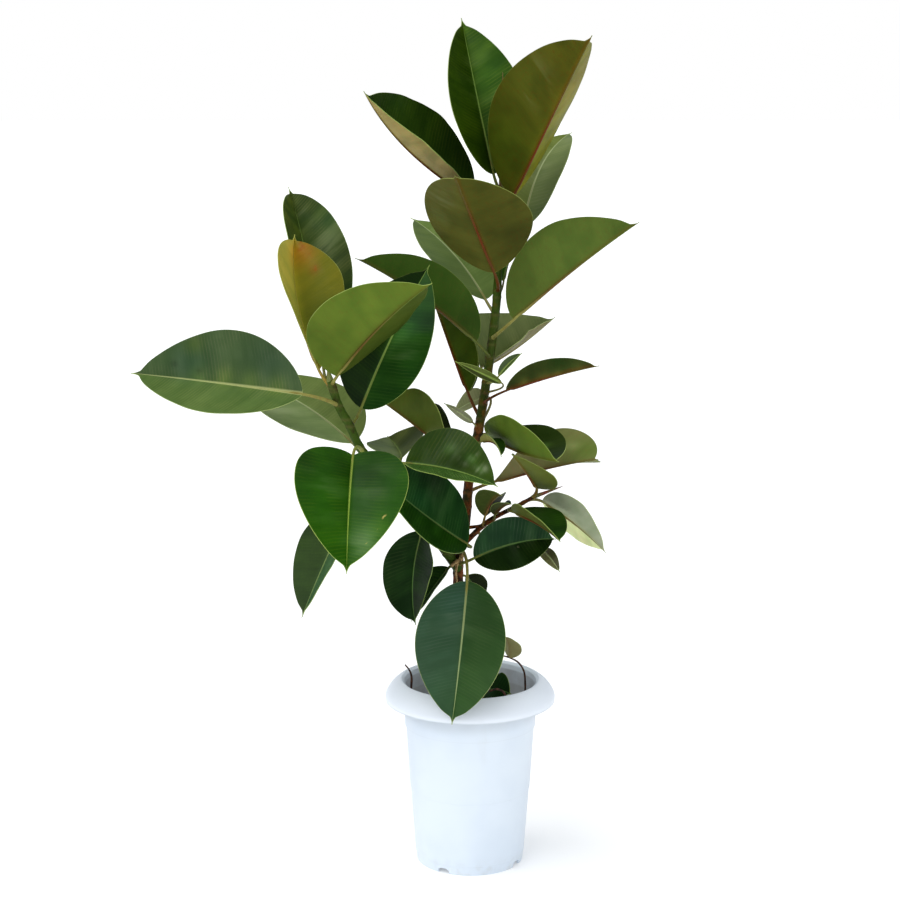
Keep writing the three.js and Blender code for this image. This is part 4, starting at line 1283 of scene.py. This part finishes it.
@dataclass
class Foliage:
    """All the leaves: one flat blank, bent into each blade, with a stalk joined on."""

    columns: int = 26
    rows: int = 64
    thickness: float = 0.0009
    wave: float = 0.008
    groove: float = 0.0007
    groove_reach: float = 0.0018
    calm: float = 0.2
    stalk_radius: tuple[float, float] = (0.0026, 0.0017)
    stalk_foot: float = 0.0009
    slim_width: float = 0.16
    rib_ends: tuple[float, float] = (0.05, 0.965)
    dresses: dict[Look, list[Material]] = field(default_factory=dict)

    def blank(self) -> Piece:
        """Models the flat blank: 1 long, and from -1 to 1 across.

        Returns:
            The blank.
        """
        return named(solid(
            bpy.ops.mesh.primitive_grid_add, (1, 0.5, 1), location=(0, 0.5, 0), size=2,
            x_subdivisions=self.columns, y_subdivisions=self.rows, calc_uvs=False,
        ), "blade_blank")

    def shape(self, sheet: Sheet) -> np.ndarray:
        """Bends a sheet into its blade, with a groove along the midrib and softly waved margins.

        Args:
            sheet: The sheet.

        Returns:
            The vertices' places.
        """
        blade, share, across = sheet.leaf.blade, sheet.share, sheet.across
        draw = random.Random(sheet.leaf.node)
        places, rise = blade.surface(share, across)
        sink = self.groove * np.exp(-((across * blade.reach(share) / self.groove_reach) ** 2))
        ripple = np.zeros(len(share))
        for half in (-1, 1):
            turns, start = draw.uniform(1.4, 2.6), draw.uniform(0, 1)
            wave = np.sin(2 * np.pi * (turns * share + start))
            wave += 0.2 * np.sin(2 * np.pi * (2.7 * turns * share + 2 * start))
            ripple += np.where(np.sign(across) == half, wave, 0)
        ends = (np.sin(np.pi * share) ** 0.5).clip(0, 1)
        lift = self.wave * blade.width * ripple * across**2 * ends - sink
        return places + rise * lift[:, None]

    def stalk(self, leaf: Leaf) -> Piece:
        """Builds the stalk, which runs on under the blade as its midrib.

        Args:
            leaf: The leaf.

        Returns:
            The stalk, with the attribute "along" rising from 0 at the stem past 1 at the blade.
        """
        blade = leaf.blade
        slim = min(1.0, 0.5 + blade.width / self.slim_width)
        root, base = leaf.stem.value.at_height(leaf.height), np.array(blade.base)
        forward, _, _ = blade.local_axes(np.array([0.0]))
        bend = base - forward[0] * 0.5 * np.linalg.norm(base - root)
        share = np.linspace(0, 1, 22)[:-1]
        weights = [(1 - share) ** 3, 3 * share * (1 - share) ** 2, 3 * share**2 * (1 - share), share**3]
        rib_start, rib_end = self.rib_ends
        corners = [root, bend, base, blade.midrib(np.array([rib_start]))[0]]
        free = np.column_stack(weights) @ np.array(corners)
        free_radii = (tapered(self.stalk_radius, share) + self.stalk_foot * np.exp(-share * 14)) * slim
        rib_share = np.linspace(rib_start, rib_end, 34)
        rib_radii = self.stalk_radius[1] * slim * (1 - rib_share) ** 0.8 + 0.00022
        _, _, rise = blade.local_axes(rib_share)
        sunk = (rib_radii * 0.6 + self.groove) * (1 - np.exp(-(rib_share - rib_start) * 60))
        points = np.vstack([free, blade.midrib(rib_share) - rise * sunk[:, None]])
        rod = rounded_rod(f"{leaf.node}_stalk", points, np.concatenate([free_radii, rib_radii]), 3)
        nearest = np.linalg.norm(vertices(rod)[:, None] - points[None], axis=2).argmin(axis=1)
        store(rod, "along", np.concatenate([share, 1 + rib_share])[nearest])
        return rod

    def grow(self, leaf: Leaf, blank: Piece) -> Piece:
        """Builds one leaf's blade and joins its stalk on.

        Args:
            leaf: The leaf.
            blank: The flat blank.

        Returns:
            The leaf.
        """
        sheet = Sheet.lay(leaf, blank)
        take(blank)
        bpy.ops.object.duplicate()
        blade = named(bpy.context.object, f"{leaf.node}_blade")
        move_vertices(blade, self.shape(sheet))
        store_map(blade, "rib", sheet.flat())
        store_map(blade, "rim", np.column_stack([sheet.edge_distance(), sheet.share]))
        # The tints carry each leaf's painted light, shade and sheen, and the gleam attribute its painted
        # reflections.
        tint = sheet.tint()
        calm = tint**self.calm
        store(blade, "upper_tint", calm if leaf.shown is Shown.UNDER else tint)
        store(blade, "under_tint", calm if leaf.shown is Shown.UPPER else tint)
        store(blade, "blemish", sheet.marked(leaf.blemishes))
        store(blade, "gleam", sheet.marked(leaf.painted_gleams))
        store(blade, "pale_rib", leaf.pale_rib * (1 - sheet.share * 0.7))
        store(blade, "seed", np.full(len(sheet.share), random.Random(leaf.node).uniform(0, 90)))
        if leaf.look not in self.dresses:
            self.dresses[leaf.look] = LeafDress(leaf.look).materials()
        for material in self.dresses[leaf.look]:
            blade.data.materials.append(material)
        offsets = {"offset": 0, "material_offset": 1, "material_offset_rim": 2}
        modify(blade, "SOLIDIFY", thickness=self.thickness, **offsets)
        coat(blade, 70)
        if leaf.stem is None:
            return blade
        stalk = self.stalk(leaf)
        coat(stalk, 70, self.dresses[leaf.look][-1])
        return join([blade, stalk], f"{leaf.node}_blade")

    def build(self) -> None:
        """Builds every leaf and what stands in the soil."""
        blank = self.blank()
        for leaf in LEAVES:
            stand_for(self.grow(leaf, blank), leaf.look.slot(), leaf.node)
        Seedlings(self).build(blank)
        bpy.data.objects.remove(blank)


@dataclass(frozen=True)
class Sprig:
    """A thin twig rooted in the soil, with or without a small blade at its end."""

    node: str
    radius: tuple[float, float]
    points: tuple[Point, ...]
    slot: str = "twig"
    leaf: Leaf | None = None


SPRIGS = (
    Sprig("seedling", (0.0016, 0.0011), (
        (0.078, 0.03, 0.19), (0.079, 0.03, 0.243), (0.077, 0.03, 0.266), (0.069, 0.03, 0.279),
        (0.057, 0.03, 0.286), (0.047, 0.03, 0.289),
    ), "leaf_pale", Leaf("seedling", Look.PALE, 0, Blade(
        (0.056, 0.03, 0.286), (0.05, 0.025, 0.32), 0.042, fold=12, bow=0.003), None,
        wash=(2.1, 2.1, 2.3))),
    Sprig("soil_leaf", (0.0016, 0.0013), (
        (0.012, -0.03, 0.19), (0.014, -0.031, 0.236), (0.028, -0.036, 0.26),
    ), "leaf_night", Leaf("soil_leaf", Look.NIGHT, 0, Blade(
        (0.027, -0.035, 0.259), (0.056, -0.062, 0.262), 0.05, roll=42, fold=12, bow=0.004), None)),
    Sprig("soil_twig_1", (0.002, 0.001), (
        (-0.084, 0.004, 0.19), (-0.084, 0.002, 0.24), (-0.083, 0, 0.268), (-0.086, 0, 0.277),
        (-0.092, 0, 0.285),
    )),
    Sprig("soil_twig_2", (0.0018, 0.0012), (
        (0.05, -0.067, 0.19), (0.05, -0.067, 0.251), (0.046, -0.067, 0.265),
        (0.036, -0.067, 0.27), (0.026, -0.064, 0.266),
    )),
)


@dataclass
class Seedlings:
    """The little things that stand in the soil."""

    foliage: Foliage
    brown: int = 0x3A1C10
    tan: int = 0x744630

    def twig_bark(self) -> Material:
        """Makes the twigs' red-brown bark.

        Returns:
            The material.
        """
        shader = Shader("twig_bark")
        body = shader.mix(shader.grain(160, 3).band(0.4, 0.75), self.brown, self.tan)
        return shader.dress(body, 0.6, shader.relief(shader.grain(500, 3), 0.5, 0.0006))

    def build(self, blank: Piece) -> None:
        """Builds the sprigs.

        Args:
            blank: The flat blank that blades are bent from.
        """
        bark = self.twig_bark()
        for sprig in SPRIGS:
            line = smooth_line(sprig.points, 12)
            knobs = 1 + 0.12 * np.array([noise.noise(Vector(point) * 140) for point in line])
            radii = tapered(sprig.radius, np.linspace(0, 1, len(line))) * knobs
            twig = rounded_rod(f"{sprig.node}_sprig", line, radii, 3)
            coat(twig, 60, bark)
            if sprig.leaf:
                twig = join([self.foliage.grow(sprig.leaf, blank), twig], f"{sprig.node}_sprig")
            stand_for(twig, sprig.slot, sprig.node)


# ---- pot


@dataclass(frozen=True)
class PlasticFinish:
    """The pot's white, slightly bluish matt plastic."""

    white: int = 0xE7F1FB
    shade: int = 0xDFEAF6
    # The rim colour is painted light on the flange's top; the collar colour is painted shade under the
    # flange, and the greyest one is painted shade on the inner wall.
    rim: int = 0xEFF6FF
    collar: int = 0x9A9890
    dust: int = 0xB9B3A4
    painted_inner_shade: int = 0x84827C
    roughness: float = 0.37


@dataclass
class Pot:
    """The round pot, whose rim rolls over into a wide flange."""

    height: float = 0.266
    mouth: float = 0.097
    rim: float = 0.12
    rim_widest: float = 0.241
    rim_lip: float = 0.236
    collar: float = 0.0935
    collar_foot: float = 0.2
    body_top: float = 0.0906
    foot: float = 0.0765
    foot_step: float = 0.012
    wall: float = 0.003
    ring_height: float = 0.107
    ring_step: float = 0.0008
    floor: float = 0.008
    hub: float = 0.03
    segments: int = 160
    notch_width: float = 0.017
    notch_height: float = 0.0075
    notch_depth: float = 0.03
    notch_start: float = -120.0
    drain_radius: float = 0.005
    drain_depth: float = 0.012
    drain_circle: float = 0.052
    edge_round: float = 0.0007
    finish: PlasticFinish = PlasticFinish()

    def lean(self) -> float:
        """Returns how much the body's radius grows for each metre up."""
        return (self.body_top - self.foot) / (self.collar_foot - self.wall)

    def profile(self) -> list[tuple[float, float]]:
        """Lists the rings from the hub's underside round the outside and back down inside.

        Returns:
            Each ring's radius and height.
        """
        neck = self.collar_foot - self.wall
        ring = self.foot + self.lean() * self.ring_height
        step = self.foot_step
        inner = self.collar - self.wall
        return [
            (self.hub, 0),
            (self.hub + self.wall, self.floor),
            (self.foot - 0.006, self.floor),
            (self.foot - 0.004, 0),
            (self.foot - 0.001, 0),
            (self.foot - 0.001 + self.lean() * step, step),
            (self.foot + self.lean() * step, step + 0.001),
            (ring, self.ring_height),
            (ring + self.ring_step, self.ring_height + 0.001),
            (self.body_top, neck),
            (self.collar - 0.001, self.collar_foot),
            (self.collar, self.rim_lip),
            (self.collar + 0.0005, self.height - 0.01),
            (self.mouth + 0.003, self.height - 0.005),
            (self.mouth + 0.011, self.height - 0.01),
            (self.rim - self.wall, self.rim_widest + 0.001),
            (self.rim - self.wall, self.rim_lip),
            (self.rim - 0.0005, self.rim_lip),
            *self.flange(),
            (self.mouth, self.height),
            (self.mouth - 0.004, self.height - 0.003),
            (inner, self.height - 0.014),
            (inner, self.collar_foot),
            (self.body_top - self.wall, neck),
            (self.foot - self.wall + self.lean() * self.floor, self.floor + self.wall),
            (self.hub + self.wall, self.floor + self.wall),
            (self.hub, self.wall),
        ]

    def flange(self) -> list[tuple[float, float]]:
        """Rounds the flange's outer face from its widest place up to the mouth.

        Returns:
            Each ring's radius and height.
        """
        drop = self.height - self.rim_widest
        spread = self.rim - self.mouth
        turns = [math.radians(81 * step / 8) for step in range(9)]
        return [(
            self.mouth + spread * math.cos(turn) ** 1.36, self.rim_widest + drop * math.sin(turn) ** 1.36
        ) for turn in turns]

    def notch_cutter(self) -> Piece:
        """Models the four arches that are cut from the foot.

        Returns:
            The cutter.
        """
        width, height, depth = self.notch_width, self.notch_height, self.notch_depth
        arches = []
        for index in range(4):
            angle = math.radians(self.notch_start + 90 * index)
            x, y, turn = self.foot * math.cos(angle), self.foot * math.sin(angle), angle + math.pi / 2
            arches.append(solid(
                bpy.ops.mesh.primitive_cylinder_add, (1, height / width, 1), vertices=32,
                radius=width / 2, depth=depth, location=(x, y, height / 2), rotation=(math.pi / 2, 0, turn),
            ))
            block = solid(
                bpy.ops.mesh.primitive_cube_add, (width, depth, height / 2 + 0.002), size=1,
                location=(x, y, height / 4 - 0.001), rotation=(0, 0, turn),
            )
            cut(arches[-1], block, "UNION")
        return join(arches, "notch_cutter")

    def drain_cutter(self) -> Piece:
        """Models the pegs that drill the drain holes.

        Returns:
            The cutter.
        """
        pegs = []
        for index in range(4):
            angle, away = math.radians(90 * index), self.drain_circle
            place = (away * math.cos(angle), away * math.sin(angle), self.floor)
            pegs.append(solid(
                bpy.ops.mesh.primitive_cylinder_add, vertices=32, radius=self.drain_radius,
                depth=self.drain_depth, location=place,
            ))
        return join(pegs, "drain_cutter")

    def plastic(self) -> Material:
        """Makes the pot's moulded plastic, dusty at the foot.

        Its flange's top is whiter, as painted light, and it is greyer under the flange and on the inner
        wall, as painted shade.

        Returns:
            The material.
        """
        finish, shader = self.finish, Shader("white_plastic")
        x, y, height = shader.split(shader.position())
        reach = (x * x + y * y).math("SQRT")
        body = shader.mix(shader.grain(9, 3).band(0.35, 0.7), finish.white, finish.shade)
        # Painted light: the flange's top is whiter.
        above = height.band(0.235, 0.239)
        body = shader.mix(above * reach.band(0.095, 0.1), body, finish.rim)
        # Painted shade: a greyer band under the flange, darkest just below the lip, and a faint line at the
        # collar's foot.
        ring = height.band(0.1995, 0.2) * (1 - height.band(0.2008, 0.2014)) * 0.04
        collar = height.band(0.206, 0.232) * (shader.grain(40, 3) * 0.24 + 0.2) + ring
        body = shader.mix(collar * (1 - above), body, finish.collar)
        # Painted shade: the inner wall above the soil is greyer.
        inside = (1 - reach.band(0.0912, 0.0918)) * height.band(0.2, 0.21)
        body = shader.mix(inside * (shader.grain(50, 3).band(0.2, 0.7) * 0.25 + 0.2), body, finish.painted_inner_shade)
        dust = (1 - height.band(0.0, 0.03)) * shader.grain(70, 4).band(0.42, 0.72) * 0.22
        body = shader.mix(dust, body, finish.dust)
        scuffs = shader.grain(30, 5, (1, 1, 0.15)).band(0.64, 0.8)
        body = shader.mix(scuffs * 0.1, body, finish.dust)
        skin = shader.relief(shader.grain(1500, 2) * 0.4 + shader.grain(40, 2), 0.12, 0.0006)
        return shader.dress(body, shader.grain(25, 3) * 0.14 + finish.roughness, skin, 0.4)

    def build(self) -> None:
        """Builds the pot, cuts its notches and drains, and rounds its edges."""
        pot = stacked_rings("pot_shell", self.profile(), self.segments)
        cut(pot, self.notch_cutter(), "DIFFERENCE")
        cut(pot, self.drain_cutter(), "DIFFERENCE")
        modify(
            pot, "BEVEL", width=self.edge_round, segments=3, limit_method="ANGLE",
            angle_limit=math.radians(32), use_clamp_overlap=True,
        )
        coat(pot, 40, self.plastic())
        stand_for(pot, "pot", "pot")


# ---- compost


@dataclass(frozen=True)
class CompostFinish:
    """The colours of bark compost, as display colours."""

    dark: int = 0x1C1612
    brown: int = 0x4A3426
    tan: int = 0x8A6B4A


@dataclass
class Compost:
    """The bark compost: an uneven bed with loose chips on it."""

    pot: Pot
    height: float = 0.208
    dome: float = 0.006
    lumps: float = 0.0035
    gap: float = 0.0003
    rings: int = 40
    chips: int = 420
    chip_sizes: tuple[float, ...] = (0.006, 0.008, 0.011, 0.015)
    chip_margin: float = 0.0015
    chip_rise: float = 0.11
    chip_seed: int = 7
    finish: CompostFinish = CompostFinish()

    def top(self, x: float, y: float) -> float:
        """Finds the bed's height.

        Args:
            x: The place's distance to the right.
            y: The place's distance to the back.

        Returns:
            The height.
        """
        radius = math.hypot(x, y) / (self.pot.collar - self.pot.wall)
        coarse = noise.noise(Vector((x, y, 0.3)) * 28)
        fine = noise.noise(Vector((x, y, 0.7)) * 110)
        dome = self.dome * max(0.0, 1 - radius**2)
        return self.height + dome + self.lumps * coarse + 0.35 * self.lumps * fine

    def bed(self) -> Piece:
        """Models the bed, from the pot's floor to its uneven top.

        Returns:
            The bed.
        """
        pot, gap = self.pot, self.gap
        brim = pot.collar - pot.wall - gap
        rings = [
            (pot.hub - 0.001, pot.wall + gap),
            (pot.hub + pot.wall - 0.001, pot.floor + pot.wall + gap),
            (pot.foot - pot.wall + pot.lean() * pot.floor - gap, pot.floor + pot.wall + gap),
            (pot.body_top - pot.wall - gap, pot.collar_foot - pot.wall),
            (brim, pot.collar_foot + gap),
            (brim, self.height - 0.001),
        ]
        rings += [(brim * (1 - step / self.rings), self.height) for step in range(1, self.rings)]
        bed = stacked_rings("compost_bed", rings, 120)
        places = vertices(bed)
        for place in places:
            if place[2] > self.height - 0.0005:
                place[2] = self.top(place[0], place[1])
        move_vertices(bed, places)
        return bed

    def chip(self) -> Piece:
        """Models one flat splinter of bark, about 1 long.

        Returns:
            The chip.
        """
        chip = named(solid(bpy.ops.mesh.primitive_cube_add, size=1), "bark_chip")
        with editing():
            bpy.ops.mesh.subdivide(number_cuts=1)
            bpy.ops.transform.resize(value=(1, 0.5, 0.22), center_override=(0, 0, 0))
            bpy.ops.transform.vertex_random(offset=0.09, uniform=0, normal=0, seed=3)
        modify(chip, "BEVEL", width=0.03, segments=1)
        return chip

    def scatter(self) -> Piece:
        """Lays copies of the chip over the bed, each turned and sized by a seeded draw.

        Returns:
            The chips as one piece, with the attribute "tone" on each.
        """
        chip = self.chip()
        shape = vertices(chip)
        faces = [tuple(face.vertices) for face in chip.data.polygons]
        draw = random.Random(self.chip_seed)
        places, polygons, tones = [], [], []
        limit = self.pot.collar - self.pot.wall - self.chip_margin
        for index in range(self.chips):
            size = draw.choice(self.chip_sizes) * draw.uniform(0.8, 1.2)
            away = (limit - size / 2) * math.sqrt(draw.random())
            around = draw.uniform(0, 2 * math.pi)
            x, y = away * math.cos(around), away * math.sin(around)
            turn, tilt, roll = draw.uniform(0, math.tau), draw.gauss(0, 0.3), draw.gauss(0, 0.4)
            scaled = shape * size * np.array([1, draw.uniform(0.6, 1.3), draw.uniform(0.7, 1.5)])
            spin = self.turning(turn, 0) @ self.turning(tilt, 2) @ self.turning(roll, 1)
            lift = self.top(x, y) + size * self.chip_rise
            places.append(scaled @ spin.T + np.array([x, y, lift]))
            polygons += [tuple(corner + index * len(shape) for corner in face) for face in faces]
            tones += [draw.random() ** 1.6] * len(shape)
        bpy.data.objects.remove(chip)
        mesh = bpy.data.meshes.new("bark_chips")
        mesh.from_pydata(np.vstack(places).tolist(), [], polygons)
        chips = put("bark_chips", mesh)
        store(chips, "tone", np.array(tones))
        return chips

    @staticmethod
    def turning(angle: float, axis: int) -> np.ndarray:
        """Makes a rotation that carries one axis towards the next.

        Args:
            angle: The angle.
            axis: The axis: 0, 1 or 2 for x, y or z.

        Returns:
            A matrix of three rows.
        """
        onward, spin = (axis + 1) % 3, np.eye(3)
        spin[axis, axis] = spin[onward, onward] = math.cos(angle)
        spin[onward, axis] = math.sin(angle)
        spin[axis, onward] = -math.sin(angle)
        return spin

    def compost(self, name: str, toned: bool) -> Material:
        """Makes the bark's colours and fibres.

        Args:
            name: The material's name.
            toned: Whether each chip has a tone of its own.

        Returns:
            The material.
        """
        finish, shader = self.finish, Shader(name)
        fibres = shader.grain(380, 5, (1, 1, 0.4))
        body = shader.mix(fibres.band(0.35, 0.7), finish.dark, finish.brown)
        pale = shader.grain(150, 4).band(0.6, 0.74)
        if toned:
            pale = pale * 0.5 + shader.shade("tone").band(0.45, 1.0) * 0.5
        body = shader.mix(pale * 0.7, body, finish.tan)
        return shader.dress(body, 0.88, shader.relief(fibres, 0.8, 0.0015), 0.25)

    def build(self) -> None:
        """Builds the bed and its chips."""
        bed = self.bed()
        coat(bed, 60, self.compost("compost_bed", toned=False))
        stand_for(bed, "soil", "soil")
        chips = self.scatter()
        chips.data.materials.append(self.compost("bark_chips", toned=True))
        stand_for(chips, "soil")


# ---- studio


@dataclass
class Studio:
    """The plain pale floor, the soft light and the camera at the photograph's angle."""

    camera_place: Point = (-0.0285, -2.83, 1.1417)
    camera_pitch: float = 10.96
    focal_pixels: float = 2083.0
    picture_pixels: float = 900.0
    sensor: float = 36.0
    floor_size: float = 60.0
    floor_glow: float = 0.17
    sky_top: float = 0.9

    def camera(self) -> None:
        """Sets the camera."""
        view = bpy.data.cameras.new("studio_camera")
        view.sensor_width = self.sensor
        view.lens = self.focal_pixels * self.sensor / self.picture_pixels
        stand = put("studio_camera", view)
        stand.location = self.camera_place
        stand.rotation_euler = (math.radians(90 - self.camera_pitch), 0, 0)
        bpy.context.scene.camera = stand

    def floor(self) -> None:
        """Lays the floor."""
        floor = named(solid(bpy.ops.mesh.primitive_plane_add, size=self.floor_size), "studio_floor")
        shader = Shader("studio_floor")
        floor.data.materials.append(shader.dress((0.9, 0.9, 0.9, 1), 0.9, gloss=0))
        shader.feed(shader.surface, {"Emission Color": (1, 1, 1, 1), "Emission Strength": self.floor_glow})

    def sun(self, name: str, strength: float, spread: float, elevation: float, azimuth: float) -> None:
        """Hangs one very large soft light.

        Args:
            name: The light's name.
            strength: How strong it is.
            spread: How large it looks, in degrees.
            elevation: Its height above the horizon, in degrees.
            azimuth: Where it stands, in degrees from the front towards the right.
        """
        light = bpy.data.lights.new(name, "SUN")
        light.energy, light.angle = strength, math.radians(spread)
        high, around = math.radians(elevation), math.radians(azimuth)
        towards = Vector((
            math.sin(around) * math.cos(high), -math.cos(around) * math.cos(high), math.sin(high)))
        lamp = put(name, light)
        lamp.rotation_mode = "QUATERNION"
        lamp.rotation_quaternion = towards.to_track_quat("Z", "Y")

    def sky(self) -> None:
        """Fills in soft light from all round, with a paler horizon to gleam in the leaves.

        The camera itself sees plain white.
        """
        shader = Shader("studio_sky", world=True)
        bpy.context.scene.world = shader.owner
        height = shader.split(shader.node("TexCoord", output="Generated"))[2]
        share = shader.node("MapRange", {0: height, "From Max": self.sky_top})
        seen = shader.mix(share, (0.25, 0.26, 0.27, 1), (0.88, 0.91, 0.94, 1))
        gleam = shader.mix(share, (0.3, 0.34, 0.4, 1), (0.05, 0.05, 0.05, 1))
        for ray, colour in (("Is Glossy Ray", gleam), ("Is Camera Ray", (1, 1, 1, 1))):
            seen = shader.mix(shader.node("LightPath", output=ray), seen, colour)
        shader.feed(shader.surface, {"Color": seen})

    def build(self) -> None:
        """Sets up the studio."""
        bpy.context.scene.view_settings.view_transform = "Standard"
        self.camera()
        self.floor()
        self.sky()
        self.sun("soft_key", 1.55, 60, 60, -60)
        self.sun("soft_front", 0.35, 80, 20, 15)


def main() -> None:
    """Builds the studio, the pot, the compost, the stems and the leaves."""
    logging.basicConfig(level=logging.INFO, format="%(message)s")
    Studio().build()
    pot = Pot()
    pot.build()
    Compost(pot).build()
    Stems().build()
    Foliage().build()


if __name__ == "__main__":
    main()
